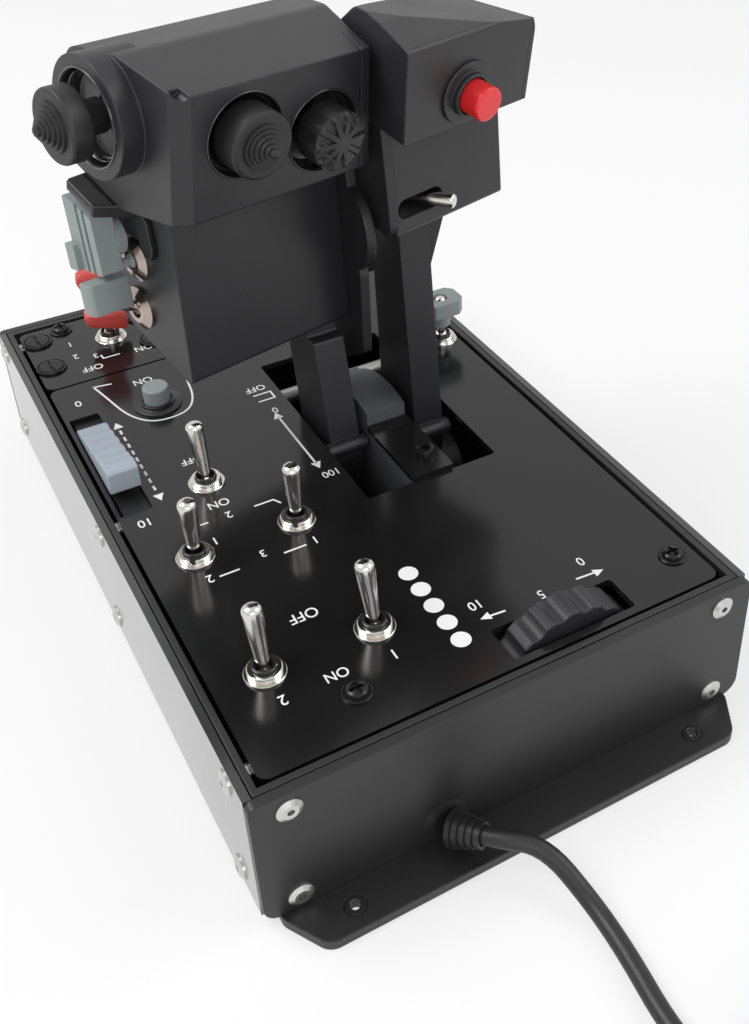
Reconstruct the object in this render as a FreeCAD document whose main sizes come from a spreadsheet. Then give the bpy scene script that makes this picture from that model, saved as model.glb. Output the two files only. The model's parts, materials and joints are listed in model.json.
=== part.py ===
import FreeCAD, Part
import math
import os
import re

import Sketcher
from FreeCAD import Placement, Rotation, Vector

# Throttle quadrant: a flat steel box with two throttle levers, a full set of
# panel switches and a cable that leaves the front.
# X is the pilot's right, Y is forward, Z is up.  The origin is the centre of
# the four mounting holes, on the underside of the base plate.

doc = FreeCAD.newDocument("ThrottleQuadrant")
sheet = doc.addObject("Spreadsheet::Sheet", "Sizes")

# ---------------------------------------------------------------- sizes, mm
SIZES = [
    # the box: overall size, flange with its mounting holes, sheets and gaps
    ("box_width", 146.0), ("box_length", 238.0),
    ("flange_sheet", 1.5), ("flange_half", 69.0), ("flange_reach", 12.8),
    ("flange_cut_x", 7.0), ("flange_cut_y", 12.0), ("flange_round", 5.0),
    ("mount_x", 52.15), ("mount_inset", 6.4), ("mount_hole_r", 2.9),
    ("end_sheet", 2.8), ("side_sheet", 2.2), ("frame_wall", 1.8),
    ("frame_gap", 0.4), ("frame_top", 45.6), ("cover_round", 5.0),
    ("cover_top_round", 2.0),
    # rivets
    ("rivet_head_r", 3.4), ("rivet_head_t", 1.1), ("rivet_shank_r", 1.6),
    ("rivet_tail_r", 2.2), ("rivet_tail_t", 1.8), ("rivet_gap", 0.1),
    ("rivet_core_r", 0.9), ("rivet_x", 63.3), ("rivet_top_z", 40.2),
    ("rivet_low_z", 8.0), ("rivet_front_y", 104.5), ("rivet_mid_y", 3.5),
    ("rivet_rear_y", 111.4),
    # the two panels and what holds them
    ("panel_top", 45.2), ("panel_sheet", 2.0), ("panel_gap", 1.3),
    ("panel_round", 3.0), ("aux_width", 46.2), ("aux_length", 41.0),
    ("aux_gap", 0.9), ("post_r", 4.2), ("screw_r", 1.6), ("screw_gap", 0.15),
    ("screw_head_r", 3.9), ("screw_head_t", 2.2), ("screw_len", 10.0),
    ("screw_front_y", 99.9), ("screw_rear_y", 106.5), ("screw_left_x", 60.8),
    ("screw_right_x", 36.4), ("screw_aux_inset_x", 14.3),
    ("screw_aux_inset_y", 4.2),
    ("turn_r", 2.2), ("turn_head_r", 4.6), ("turn_head_t", 1.0),
    ("turn_inner_inset", 41.3), ("turn_outer_inset", 4.9),
    ("turn_rear_inset", 8.2), ("turn_front_inset", 27.2),
    # lever slot, gate and pivot
    ("slot_x", -21.5), ("slot_clear", 2.85), ("slot_rear", 49.1),
    ("slot_front", 34.2), ("pivot_y", -7.5), ("pivot_z", 14.0),
    ("pivot_r", 4.0), ("pivot_gap", 0.06), ("bearing_t", 6.0),
    ("bearing_width", 24.0), ("bearing_clear", 2.6), ("stop_r", 2.5),
    ("stop_y", -38.0), ("stop_z", 38.0), ("guide_width", 13.4),
    ("guide_r", 38.6), ("guide_rear", 32.0), ("tongue_width", 14.2),
    ("tongue_back", 3.4), ("tongue_t", 1.6), ("tongue_screw_x", -23.6),
    ("tongue_screw_y", 25.4), ("tongue_screw_r", 1.5),
    ("tongue_head_r", 2.75), ("tongue_head_t", 2.6),
    # levers: both stand on one shaft, each at its own side of the gate
    ("arm_t", 10.0), ("arm_spread", 14.0), ("hub_r", 10.5),
    ("arm_front", 13.7), ("arm_back", 9.8), ("arm_knee", 33.0),
    ("left_arm_top", 98.9), ("right_arm_top", 96.0), ("right_shoulder", 62.0),
    ("tang_front", 6.0), ("tang_back", 9.0), ("tang_gap", 0.2),
    ("pin_r", 2.5), ("pin_z", 25.5), ("pin_len", 13.4), ("pin_gap", 0.05),
    ("right_lean", 8.0), ("grip_yaw", 15.0), ("plate_t", 2.9),
    ("inner_reach", 13.0),
    # right grip, measured along and across its yawed front face
    ("r_body_out", 49.9), ("r_body_front", 7.9), ("r_body_lean", 0.0933),
    ("r_body_low", 64.4), ("r_body_deep", 21.1), ("r_body_rise", 78.0),
    ("r_seam", 118.0), ("r_seam_rise", 0.488), ("r_head_out", 56.5),
    ("r_head_front", 29.7), ("r_head_tilt", 15.7), ("r_head_brow", 152.0),
    ("r_head_top", 161.0), ("r_head_back", 20.5), ("r_facet", 4.0),
    ("well_r", 11.2), ("well_depth", 8.0), ("slew_u", 36.8),
    ("slew_z", 138.1), ("star_u", 11.8), ("star_z", 132.7),
    ("slew_r", 8.3), ("star_r", 6.6), ("boss_r", 16.0), ("boss_len", 6.5),
    ("boss_w", 6.0), ("boss_z", 145.0), ("mic_r", 9.8),
    ("hat_pivot", 3.0), ("hat_gap", 0.4), ("slew_rim", 18.5),
    ("star_rim", 19.0), ("mic_rim", 14.5), ("switch_low_w", -12.0),
    ("switch_low_z", 84.5), ("switch_top_w", -9.0), ("switch_top_z", 100.0),
    ("grip_nut_r", 6.5), ("grip_nut_t", 2.2), ("shroud_t", 1.9),
    ("shroud_reach", 11.6), ("shelf_t", 1.9), ("shelf_slope", 0.463),
    ("grey_out", 5.6), ("grey_t", 6.5), ("grey_front", -7.0), ("grey_rear", -20.5),
    ("grey_boss_r", 5.6), ("grey_boss_len", 2.2), ("grey_boss_w", -11.0),
    ("grey_boss_z", 108.0), ("grey_rib_pitch", 3.2), ("grey_rib_w", 1.3),
    ("grey_rib_t", 0.9), ("upper_low", 98.8), ("upper_front_top", 115.5),
    ("upper_rear_top", 120.6), ("tab_t", 1.6), ("tab_w", 4.6), ("tab_high", 106.5),
    ("lower_low", 87.3), ("lower_top", 97.3), ("stem_lean", 12.0),
    ("recess_r", 1.6), ("recess_depth", 3.0), ("recess_u", 54.4), ("recess_z", 152.0),
    # left grip
    ("l_body_front", 13.8), ("l_body_low", 99.0), ("l_body_out", 29.0),
    ("l_body_deep", 18.0), ("l_seam", 132.5), ("l_head_out", 28.5),
    ("l_head_front", 24.4), ("l_head_tilt", 9.0), ("l_head_brow", 158.9),
    ("l_head_top", 163.0), ("cap_t", 3.0), ("red_u", -2.0), ("red_z", 141.7),
    ("red_r", 4.9), ("red_len", 9.0), ("red_travel", 3.0), ("bezel_r", 9.0),
    ("bezel_t", 1.0), ("bezel_rim_r", 6.2), ("bezel_rim_t", 3.0),
    ("pinky_u", 4.5), ("pinky_z", 107.0), ("pinky_len", 17.4),
    ("pinky_slot_low", 104.0), ("pinky_slot_high", 110.0),
    # panel switches
    ("column_left_x", 22.6), ("column_right_x", 53.3), ("eng_y", 32.2),
    ("fuel_y", 82.2), ("apu_x", 38.9), ("apu_y", 2.2), ("red_inset_x", 28.6),
    ("red_inset_y", 17.7), ("flap_x", -61.8), ("flap_y", -32.8),
    ("bushing_r", 3.1), ("bushing_gap", 0.15), ("bushing_rise", 3.2),
    ("ball_r", 2.4), ("ball_bore", 2.65), ("ball_rise", 1.0),
    ("switch_w", 12.6), ("switch_l", 12.8), ("switch_t", 11.0),
    ("nut_r", 5.5), ("nut_t", 0.9), ("dress_r", 4.3), ("dress_t", 1.6),
    ("bat_len", 16.3), ("bat_tip_r", 2.35), ("bat_root_r", 1.4),
    ("toggle_throw", 13.0), ("red_cap_w", 14.0), ("red_cap_low", 10.0),
    ("red_cap_len", 22.5), ("flap_cap_w", 14.0),
    ("flap_cap_l", 11.0), ("flap_cap_t", 5.2), ("flap_cap_low", 10.6),
    ("flap_bevel", 2.4), ("flap_stem_r", 3.4), ("flap_stem_low", 5.6),
    ("button_x", 37.8), ("button_y", -46.0), ("button_r", 4.3),
    ("button_rise", 7.0), ("button_travel", 2.5), ("button_gap", 0.3),
    ("ring_r", 8.0), ("ring_rise", 2.2), ("ring_bore", 5.8),
    ("slider_x", 61.25), ("slider_slot_w", 9.5), ("slider_slot_rear", 50.8),
    ("slider_slot_front", 5.0), ("slider_rear", 42.0), ("slider_front", 5.0),
    ("slider_lift", 0.6), ("slider_step", 1.6), ("slider_deep", 10.0),
    ("slider_travel", 8.0),
    # friction wheel
    ("wheel_r", 21.5), ("wheel_w", 9.4), ("wheel_rise", 5.8),
    ("wheel_y", 104.5), ("wheel_clear", 1.2), ("axle_r", 2.5),
    ("axle_gap", 0.06), ("scallop_r", 3.2),
    # cable
    ("cord_r", 2.5), ("gland_x", 23.0), ("gland_z", 9.4), ("gland_r", 5.2),
    ("boot_r", 5.0), ("boot_tip_r", 3.5), ("boot_len", 9.5),
    ("boot_turn", 35.0), ("boot_lift", 12.0), ("coil_r", 28.0), ("coil_tube_r", 9.0),
]

for row, (alias, value) in enumerate(SIZES, start=1):
    sheet.set("A%d" % row, alias)
    sheet.set("B%d" % row, str(value))
    sheet.setAlias("B%d" % row, alias)
doc.recompute()

NAMES = sorted((alias for alias, value in SIZES), key=len, reverse=True)
WORD = re.compile(r"\b(%s)\b" % "|".join(NAMES))


def bound(text):
    """The expression with every size name pointing at its cell."""
    return WORD.sub(r"Sizes.\1", str(text))


def size(text):
    """The value of an expression of sizes."""
    result = sheet.evalExpression(bound(text))
    return float(getattr(result, "Value", result))



# ------------------------------------------------------------ drawing tools
PARTS = []


def listed(piece, name):
    """Give a finished sub-part the name that its file takes."""
    piece.Label = name
    PARTS.append(piece)
    return piece


def new_body(name, kept=True):
    """A PartDesign body; one that is only copied from isn't kept."""
    piece = doc.addObject("PartDesign::Body", name)
    piece.Label = name
    piece.AllowCompound = True
    if kept:
        PARTS.append(piece)
    return piece


def new_sketch(piece, role, shift=0):
    """A sketch on one of the body's own planes, moved along its normal."""
    drawn = piece.newObject("Sketcher::SketchObject", "Profile")
    faces = piece.Origin.OriginFeatures
    drawn.AttachmentSupport = [(next(f for f in faces if f.Role == role), "")]
    drawn.MapMode = "FlatFace"
    if shift != 0:
        drawn.setExpression(".AttachmentOffset.Base.z", bound(shift))
    return drawn


def apply_rules(drawn, rules):
    """Add constraints in one go and tie those with a text to the sheet."""
    first = drawn.ConstraintCount
    drawn.addConstraint([rule for rule, text in rules])
    for number, (rule, text) in enumerate(rules, start=first):
        if text is not None:
            drawn.setExpression("Constraints[%d]" % number, bound(text))


def at_place(shape, end, x, y):
    """Constraints that hold a point of a sketch at x, y."""
    rules = []
    for kind, text in (("DistanceX", x), ("DistanceY", y)):
        rule = Sketcher.Constraint(kind, -1, 1, shape, end, size(text))
        rules.append((rule, text))
    return rules


def circle(drawn, x, y, radius):
    """A circle tied to its centre and radius."""
    round_ = Part.Circle(Vector(size(x), size(y), 0), Vector(0, 0, 1), size(radius))
    shape = drawn.addGeometry(round_)
    rules = at_place(shape, 3, x, y)
    rules.append((Sketcher.Constraint("Radius", shape, size(radius)), radius))
    apply_rules(drawn, rules)


def outline(drawn, corners):
    """A closed outline through (x, y, radius) corners; radius 0 is sharp."""
    spots = [Vector(size(x), size(y), 0) for x, y, radius in corners]
    count = len(spots)
    leave, arrive, arcs = [None] * count, [None] * count, [None] * count
    for i, (x, y, radius) in enumerate(corners):
        here = spots[i]
        back = (spots[i - 1] - here).normalize()
        ahead = (spots[(i + 1) % count] - here).normalize()
        if radius == 0:
            arrive[i] = leave[i] = here
            continue
        half = back.getAngle(ahead) / 2
        reach = size(radius) / math.tan(half)
        arrive[i], leave[i] = here + back * reach, here + ahead * reach
        middle = here + (back + ahead).normalize() * (size(radius) / math.sin(half))
        left_turn = (ahead.cross(back)).z > 0
        start, stop = (arrive[i], leave[i]) if left_turn else (leave[i], arrive[i])
        angles = [math.atan2(p.y - middle.y, p.x - middle.x) for p in (start, stop)]
        ring = Part.Circle(middle, Vector(0, 0, 1), size(radius))
        arcs[i] = (Part.ArcOfCircle(ring, angles[0], angles[1]), left_turn)
    lines = []
    for i in range(count):
        ends = Part.LineSegment(leave[i], arrive[(i + 1) % count])
        lines.append(drawn.addGeometry(ends))
    rules = []
    for i, (x, y, radius) in enumerate(corners):
        before, after = lines[i - 1], lines[i]
        if radius == 0:
            rules.append((Sketcher.Constraint("Coincident", before, 2, after, 1), None))
            rules += at_place(after, 1, x, y)
            continue
        arc, left_turn = arcs[i]
        bend = drawn.addGeometry(arc)
        first, last = (1, 2) if left_turn else (2, 1)
        corner = drawn.addGeometry(Part.Point(spots[i]), True)
        rules.append((Sketcher.Constraint("Tangent", before, 2, bend, first), None))
        rules.append((Sketcher.Constraint("Tangent", bend, last, after, 1), None))
        rules.append((Sketcher.Constraint("PointOnObject", corner, 1, before), None))
        rules.append((Sketcher.Constraint("PointOnObject", corner, 1, after), None))
        rules.append((Sketcher.Constraint("Radius", bend, size(radius)), radius))
        rules += at_place(corner, 1, x, y)
    apply_rules(drawn, rules)


def rectangle(drawn, x_low, x_high, y_low, y_high, radius=0):
    outline(drawn, [(x_low, y_low, radius), (x_high, y_low, radius),
                    (x_high, y_high, radius), (x_low, y_high, radius)])


def pad(piece, drawn, length, back=False, both=False):
    made = piece.newObject("PartDesign::Pad", "Pad")
    made.Profile = drawn
    made.setExpression("Length", bound(length))
    made.Reversed = back
    made.SideType = "Symmetric" if both else "One side"
    return made


def pocket(piece, drawn, length=None, back=False):
    """Cut a sketch out: to a depth, or through everything both ways."""
    made = piece.newObject("PartDesign::Pocket", "Pocket")
    made.Profile = drawn
    made.Reversed = back
    if length is None:
        made.Type = "ThroughAll"
        made.SideType = "Symmetric"
    else:
        made.setExpression("Length", bound(length))
    return made


def turn(piece, corners, kind="PartDesign::Revolution"):
    """Revolve a half profile of (radius, height) corners about the body's Z."""
    drawn = new_sketch(piece, "XZ_Plane")
    outline(drawn, corners)
    made = piece.newObject(kind, "Turned")
    made.Profile = drawn
    made.ReferenceAxis = (drawn, ["V_Axis"])
    made.Angle = 360.0
    return made


def edge_names(piece, rule):
    doc.recompute()
    edges = piece.Tip.Shape.Edges
    return ["Edge%d" % number for number, edge in enumerate(edges, 1) if rule(edge)]


def soften(piece, rule, radius, kind="Fillet"):
    """Fillet or chamfer the edges that a rule picks on the piece so far."""
    names, base = edge_names(piece, rule), piece.Tip
    made = piece.newObject("PartDesign::" + kind, kind)
    made.Base = (base, names)
    made.setExpression("Radius" if kind == "Fillet" else "Size", bound(radius))
    return made


def place(piece, x=0, y=0, z=0, rotation=None):
    """Stand a piece at a point that the sheet gives."""
    piece.Placement = Placement(Vector(), rotation or Rotation())
    for axis, text in zip("xyz", (x, y, z)):
        piece.setExpression(".Placement.Base." + axis, bound(text))
    return piece


def linked(source, x=0, y=0, z=0, rotation=None):
    """One more copy of a piece, placed by itself."""
    link = doc.addObject("App::Link", source.Name + "_copy")
    link.LinkedObject = source
    return place(link, x, y, z, rotation)


def together(name, pieces):
    """Several solids that are one sub-part."""
    group = doc.addObject("Part::Compound", name)
    group.Links = pieces
    return listed(group, name)


def copies(name, source, places):
    """One sub-part of several equal solids, each a link to the same source."""
    return together(name, [linked(source, *spot) for spot in places])


FORWARD = Rotation(Vector(1, 0, 0), -90)      # turns a piece's +Z to +Y
REARWARD = Rotation(Vector(1, 0, 0), 90)      # +Z to -Y
RIGHTWARD = Rotation(Vector(0, 1, 0), 90)     # +Z to +X
LEFTWARD = Rotation(Vector(0, 1, 0), -90)     # +Z to -X
UPRIGHT = Rotation()


# ------------------------------------------------------------------ the box
PANEL_LOW = "panel_top - panel_sheet"
FRAME_X = "(box_width/2 - side_sheet - frame_gap)"
FRAME_Y = "(box_length/2 - end_sheet - frame_gap)"
FLOOR_TOP = "2*flange_sheet"
PANEL_X = FRAME_X + " - frame_wall - panel_gap"
PANEL_Y = FRAME_Y + " - frame_wall - panel_gap"
AUX_X = PANEL_X + " - aux_width"
AUX_Y = "-(" + PANEL_Y + ") + aux_length"
RED_X, RED_Y = PANEL_X + " - red_inset_x", "red_inset_y - (%s)" % PANEL_Y

SCREWS = [("screw_right_x", "screw_front_y"), ("-screw_left_x", "screw_front_y"),
          ("-screw_left_x", "-screw_rear_y"),
          (PANEL_X + " - screw_aux_inset_x", "screw_aux_inset_y - (%s)" % PANEL_Y)]
TURNS = [("%s - %s" % (PANEL_X, x), "%s - (%s)" % (y, PANEL_Y))
         for x in ("turn_inner_inset", "turn_outer_inset")
         for y in ("turn_rear_inset", "turn_front_inset")]
TOGGLES = {
    "apu_toggle": ("apu_x", "apu_y", "-toggle_throw"),
    "eng_toggle_right": ("column_right_x", "eng_y", "0"),
    "eng_toggle_left": ("column_left_x", "eng_y", "0"),
    "fuel_toggle_right": ("column_right_x", "fuel_y", "-toggle_throw"),
    "fuel_toggle_left": ("column_left_x", "fuel_y", "-toggle_throw"),
    "red_toggle": (RED_X, RED_Y, "0"),
    "flap_toggle": ("flap_x", "flap_y", "0"),
}
RIVETS_END = [(x, z) for x in ("-rivet_x", "rivet_x")
              for z in ("rivet_low_z", "rivet_top_z")]
RIVETS_SIDE = [(y, z) for y in ("rivet_front_y", "rivet_mid_y", "-rivet_rear_y")
               for z in ("rivet_low_z", "rivet_top_z")]


def flange_outline(piece, shift):
    """The bevelled outline that the base plate and the frame's floor share."""
    half, reach = "flange_half", "(box_length/2 + flange_reach)"
    drawn = new_sketch(piece, "XY_Plane", shift)
    outline(drawn, [
        ("-%s + flange_cut_x" % half, "-" + reach, "flange_round"),
        ("%s - flange_cut_x" % half, "-" + reach, "flange_round"),
        (half, "-%s + flange_cut_y" % reach, "flange_round"),
        (half, "%s - flange_cut_y" % reach, "flange_round"),
        ("%s - flange_cut_x" % half, reach, "flange_round"),
        ("-%s + flange_cut_x" % half, reach, "flange_round"),
        ("-" + half, "%s - flange_cut_y" % reach, "flange_round"),
        ("-" + half, "-%s + flange_cut_y" % reach, "flange_round")])
    return drawn


def mount_holes(piece):
    drawn = new_sketch(piece, "XY_Plane")
    reach = "(box_length/2 + flange_reach - mount_inset)"
    for x in ("-mount_x", "mount_x"):
        for y in ("-" + reach, reach):
            circle(drawn, x, y, "mount_hole_r")
    pocket(piece, drawn)


def holes(piece, role, spots, radius):
    """Round holes right through a piece, both ways from one of its planes."""
    drawn = new_sketch(piece, role)
    for x, y in spots:
        circle(drawn, x, y, radius)
    pocket(piece, drawn)


def base_plate():
    piece = new_body("base_plate")
    pad(piece, flange_outline(piece, 0), "flange_sheet")
    mount_holes(piece)


def chassis_frame():
    """The inner tray: a floor with ears, four walls and the screw posts."""
    piece = new_body("chassis_frame")
    pad(piece, flange_outline(piece, "flange_sheet"), "flange_sheet")
    mount_holes(piece)
    walls = new_sketch(piece, "XY_Plane", "flange_sheet")
    inner_x, inner_y = FRAME_X + " - frame_wall", FRAME_Y + " - frame_wall"
    rectangle(walls, "-" + FRAME_X, FRAME_X, "-" + FRAME_Y, FRAME_Y)
    rectangle(walls, "-(" + inner_x + ")", inner_x, "-(" + inner_y + ")", inner_y)
    pad(piece, walls, "frame_top - flange_sheet")
    rivet_hole = "rivet_shank_r + rivet_gap"
    holes(piece, "XZ_Plane", RIVETS_END, rivet_hole)
    holes(piece, "YZ_Plane", RIVETS_SIDE, rivet_hole)
    gland = new_sketch(piece, "XZ_Plane", "-(" + inner_y + ") + frame_wall/2")
    circle(gland, "gland_x", "gland_z", "gland_r + rivet_gap")
    pocket(piece, gland, "frame_wall*3", back=False)
    posts = new_sketch(piece, "XY_Plane", FLOOR_TOP)
    for x, y in SCREWS + TURNS:
        circle(posts, x, y, "post_r")
    pad(piece, posts, PANEL_LOW + " - " + FLOOR_TOP)
    for spots, radius in ((SCREWS, "screw_r"), (TURNS, "turn_r")):
        drilled = new_sketch(piece, "XY_Plane", PANEL_LOW)
        for x, y in spots:
            circle(drilled, x, y, radius + " + screw_gap")
        pocket(piece, drilled, "screw_len")


def side_plate(name, side):
    piece = new_body(name)
    length = "(box_length/2 - end_sheet)"
    shift = "box_width/2 - side_sheet" if side > 0 else "-box_width/2"
    sheet_ = new_sketch(piece, "YZ_Plane", shift)
    rectangle(sheet_, "-" + length, length, FLOOR_TOP, "frame_top")
    pad(piece, sheet_, "side_sheet")
    holes(piece, "YZ_Plane", RIVETS_SIDE, "rivet_shank_r + rivet_gap")


def end_plate(name, side):
    """The front and rear plates cover the side plates' ends."""
    piece = new_body(name)
    shift = "-box_length/2" if side > 0 else "box_length/2 - end_sheet"
    drawn = new_sketch(piece, "XZ_Plane", shift)
    outline(drawn, [
        ("-box_width/2", FLOOR_TOP, "cover_round"),
        ("box_width/2", FLOOR_TOP, "cover_round"),
        ("box_width/2", "frame_top", "cover_top_round"),
        ("-box_width/2", "frame_top", "cover_top_round")])
    pad(piece, drawn, "end_sheet")
    holes(piece, "XZ_Plane", RIVETS_END, "rivet_shank_r + rivet_gap")
    if side > 0:
        holes(piece, "XZ_Plane", [("gland_x", "gland_z")], "gland_r + rivet_gap")


def rivet(name, sheet_):
    """A domed blind rivet with a hollow core, for one plate and the frame."""
    piece = new_body(name, kept=False)
    grip = sheet_ + " + frame_gap + frame_wall"
    turn(piece, [
        ("rivet_core_r", "rivet_head_t", 0), ("rivet_core_r", "-1", 0), (0, "-1", 0),
        (0, "-(" + grip + ") - rivet_tail_t", 0),
        ("rivet_tail_r", "-(" + grip + ") - rivet_tail_t", 0),
        ("rivet_tail_r", "-(" + grip + ")", 0),
        ("rivet_shank_r", "-(" + grip + ")", 0), ("rivet_shank_r", 0, 0),
        ("rivet_head_r", 0, 0), ("rivet_head_r", "rivet_head_t*0.35", 0),
        ("rivet_core_r + 1.2", "rivet_head_t", 0)])
    return piece


def rivets():
    for_ends, for_sides = rivet("end_rivet", "end_sheet"), rivet("side_rivet", "side_sheet")
    links = []
    for x, z in RIVETS_END:
        links.append(linked(for_ends, x, "box_length/2", z, FORWARD))
        links.append(linked(for_ends, x, "-box_length/2", z, REARWARD))
    for y, z in RIVETS_SIDE:
        links.append(linked(for_sides, "box_width/2", y, z, RIGHTWARD))
        links.append(linked(for_sides, "-box_width/2", y, z, LEFTWARD))
    together("rivets", links)


# ------------------------------------------------------------------- panels
def main_panel():
    piece = new_body("main_panel")
    x, y = "(" + PANEL_X + ")", "(" + PANEL_Y + ")"
    drawn = new_sketch(piece, "XY_Plane", PANEL_LOW)
    notch_x, notch_y = AUX_X + " - aux_gap", AUX_Y + " + aux_gap"
    outline(drawn, [
        ("-" + x, "-" + y, "panel_round"), (notch_x, "-" + y, "panel_round"),
        (notch_x, notch_y, 0), (x, notch_y, "panel_round"),
        (x, y, "panel_round"), ("-" + x, y, "panel_round")])
    pad(piece, drawn, "panel_sheet")
    cuts = new_sketch(piece, "XY_Plane", PANEL_LOW)
    half_slot = "(arm_spread + arm_t/2 + slot_clear)"
    rectangle(cuts, "slot_x - " + half_slot, "slot_x + " + half_slot,
              "-slot_rear", "slot_front", 1.0)
    half_chord = "sqrt(wheel_r^2 - (wheel_r - wheel_rise - panel_sheet)^2)"
    rectangle(cuts, "slot_x - wheel_clear*2 - " + half_chord,
              "slot_x + wheel_clear*2 + " + half_chord,
              "wheel_y - wheel_w/2 - wheel_clear", "wheel_y + wheel_w/2 + wheel_clear", 1.0)
    rectangle(cuts, "slider_x - slider_slot_w/2", "slider_x + slider_slot_w/2",
              "-slider_slot_rear", "slider_slot_front", 0.5)
    pocket(piece, cuts)
    panel_holes(piece, [name for name in TOGGLES if name != "red_toggle"],
                SCREWS[:3], [])
    holes(piece, "XY_Plane", [("button_x", "button_y")], "ring_bore")


def panel_holes(piece, toggles, screws, turns):
    """Holes for the switches' bushings and for what holds the panel."""
    drawn = new_sketch(piece, "XY_Plane", PANEL_LOW)
    for name in toggles:
        circle(drawn, TOGGLES[name][0], TOGGLES[name][1], "bushing_r + bushing_gap")
    for x, y in screws:
        circle(drawn, x, y, "screw_r + screw_gap")
    for x, y in turns:
        circle(drawn, x, y, "turn_r + screw_gap")
    pocket(piece, drawn)


def aux_panel():
    piece = new_body("aux_panel")
    drawn = new_sketch(piece, "XY_Plane", PANEL_LOW)
    rectangle(drawn, AUX_X, PANEL_X, "-(" + PANEL_Y + ")", AUX_Y, "panel_round")
    pad(piece, drawn, "panel_sheet")
    panel_holes(piece, ["red_toggle"], SCREWS[3:], TURNS)


def panel_fasteners():
    """Washer-head screws, quarter-turn studs and the gate's socket screw."""
    screw = new_body("panel_screw", kept=False)
    turn(screw, [
        (0, "-panel_sheet - screw_len", 0), ("screw_r", "-panel_sheet - screw_len", 0),
        ("screw_r", 0, 0), ("screw_head_r", 0, 0), ("screw_head_r", "screw_head_t*0.3", 0),
        ("screw_head_r*0.78", "screw_head_t*0.4", 0),
        ("screw_head_r*0.62", "screw_head_t", 0), (0, "screw_head_t", 0)])
    stud = new_body("quarter_turn", kept=False)
    turn(stud, [
        (0, "-panel_sheet - screw_len", 0), ("turn_r", "-panel_sheet - screw_len", 0),
        ("turn_r", 0, 0), ("turn_head_r", 0, 0), ("turn_head_r", "turn_head_t*0.5", 0),
        ("turn_head_r - 0.5", "turn_head_t", 0), (0, "turn_head_t", 0)])
    slot = new_sketch(stud, "XY_Plane", "turn_head_t")
    rectangle(slot, "-turn_head_r", "turn_head_r", "-0.4", "0.4")
    pocket(stud, slot, "turn_head_t*0.6")
    socket = new_body("socket_screw", kept=False)
    turn(socket, [
        (0, "-tongue_t - screw_len", 0), ("tongue_screw_r", "-tongue_t - screw_len", 0),
        ("tongue_screw_r", 0, 0), ("tongue_head_r", 0, 0),
        ("tongue_head_r", "tongue_head_t", 0.3), (0, "tongue_head_t", 0)])
    drive = new_sketch(socket, "XY_Plane", "tongue_head_t")
    around = [(math.cos(math.radians(60 * n)), math.sin(math.radians(60 * n)))
              for n in range(6)]
    outline(drive, [("tongue_head_r*%.4f" % (0.52 * c), "tongue_head_r*%.4f" % (0.52 * s), 0)
                    for c, s in around])
    pocket(socket, drive, "tongue_head_t*0.6")
    links = []
    for source, spots in ((screw, SCREWS), (stud, TURNS)):
        links += [linked(source, x, y, "panel_top") for x, y in spots]
    links.append(linked(socket, "tongue_screw_x", "tongue_screw_y", "panel_top + tongue_t"))
    together("panel_fasteners", links)


# ------------------------------------------------------ gate, pivot, levers
LEFT_ARM_X, RIGHT_ARM_X = "(slot_x - arm_spread)", "(slot_x + arm_spread)"


def gate_tongue():
    piece = new_body("gate_tongue")
    drawn = new_sketch(piece, "XY_Plane", "panel_top")
    rectangle(drawn, "slot_x - tongue_width/2", "slot_x + tongue_width/2",
              "tongue_back", "slot_front - 0.2", 0.6)
    pad(piece, drawn, "tongue_t")
    holes(piece, "XY_Plane", [("tongue_screw_x", "tongue_screw_y")],
          "tongue_screw_r + screw_gap")


def gate_guide():
    """The upright divider: its ridge is an arc about the levers' shaft."""
    piece = new_body("gate_guide")
    drawn = new_sketch(piece, "YZ_Plane", "slot_x")
    rear, front = "-guide_rear", "slot_front - 0.6"
    rectangle(drawn, rear, front, FLOOR_TOP, "panel_top", 0.5)
    pad(piece, drawn, "guide_width", both=True)
    ridge = new_sketch(piece, "YZ_Plane", "slot_x")
    circle(ridge, "pivot_y", "pivot_z", "guide_r")
    pad(piece, ridge, "guide_width", both=True)
    bore = "pivot_r + pivot_gap"
    trim = new_sketch(piece, "YZ_Plane", "slot_x")
    circle(trim, "pivot_y", "pivot_z", bore)
    rectangle(trim, "pivot_y - 2*guide_r", "pivot_y + 2*guide_r",
              "pivot_z - 2*guide_r", FLOOR_TOP)
    rectangle(trim, "tongue_back - 0.2", "pivot_y + 2*guide_r", "panel_top",
              "pivot_z + 2*guide_r")
    pocket(piece, trim)
    behind = new_sketch(piece, "YZ_Plane", "slot_x")
    rectangle(behind, "pivot_y - 2*guide_r", rear, FLOOR_TOP, "pivot_z + 2*guide_r")
    pocket(piece, behind)
    tapped = new_sketch(piece, "XY_Plane", "panel_top")
    circle(tapped, "tongue_screw_x", "tongue_screw_y", "tongue_screw_r + screw_gap")
    pocket(piece, tapped, "screw_len + 0.5")


def pivot_shaft():
    """The levers' shaft and, behind it, the rod that stops them."""
    reach = "arm_spread + arm_t/2 + bearing_clear + bearing_t"
    shaft = new_body("shaft", kept=False)
    drawn = new_sketch(shaft, "YZ_Plane", "slot_x")
    circle(drawn, "pivot_y", "pivot_z", "pivot_r")
    pad(shaft, drawn, "2*(" + reach + ") + 1", both=True)
    rod = new_body("rod", kept=False)
    drawn = new_sketch(rod, "YZ_Plane", "slot_x")
    circle(drawn, "stop_y", "stop_z", "stop_r")
    pad(rod, drawn, "2*(" + reach + ") + 1", both=True)
    together("pivot_shaft", [shaft, rod])


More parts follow.
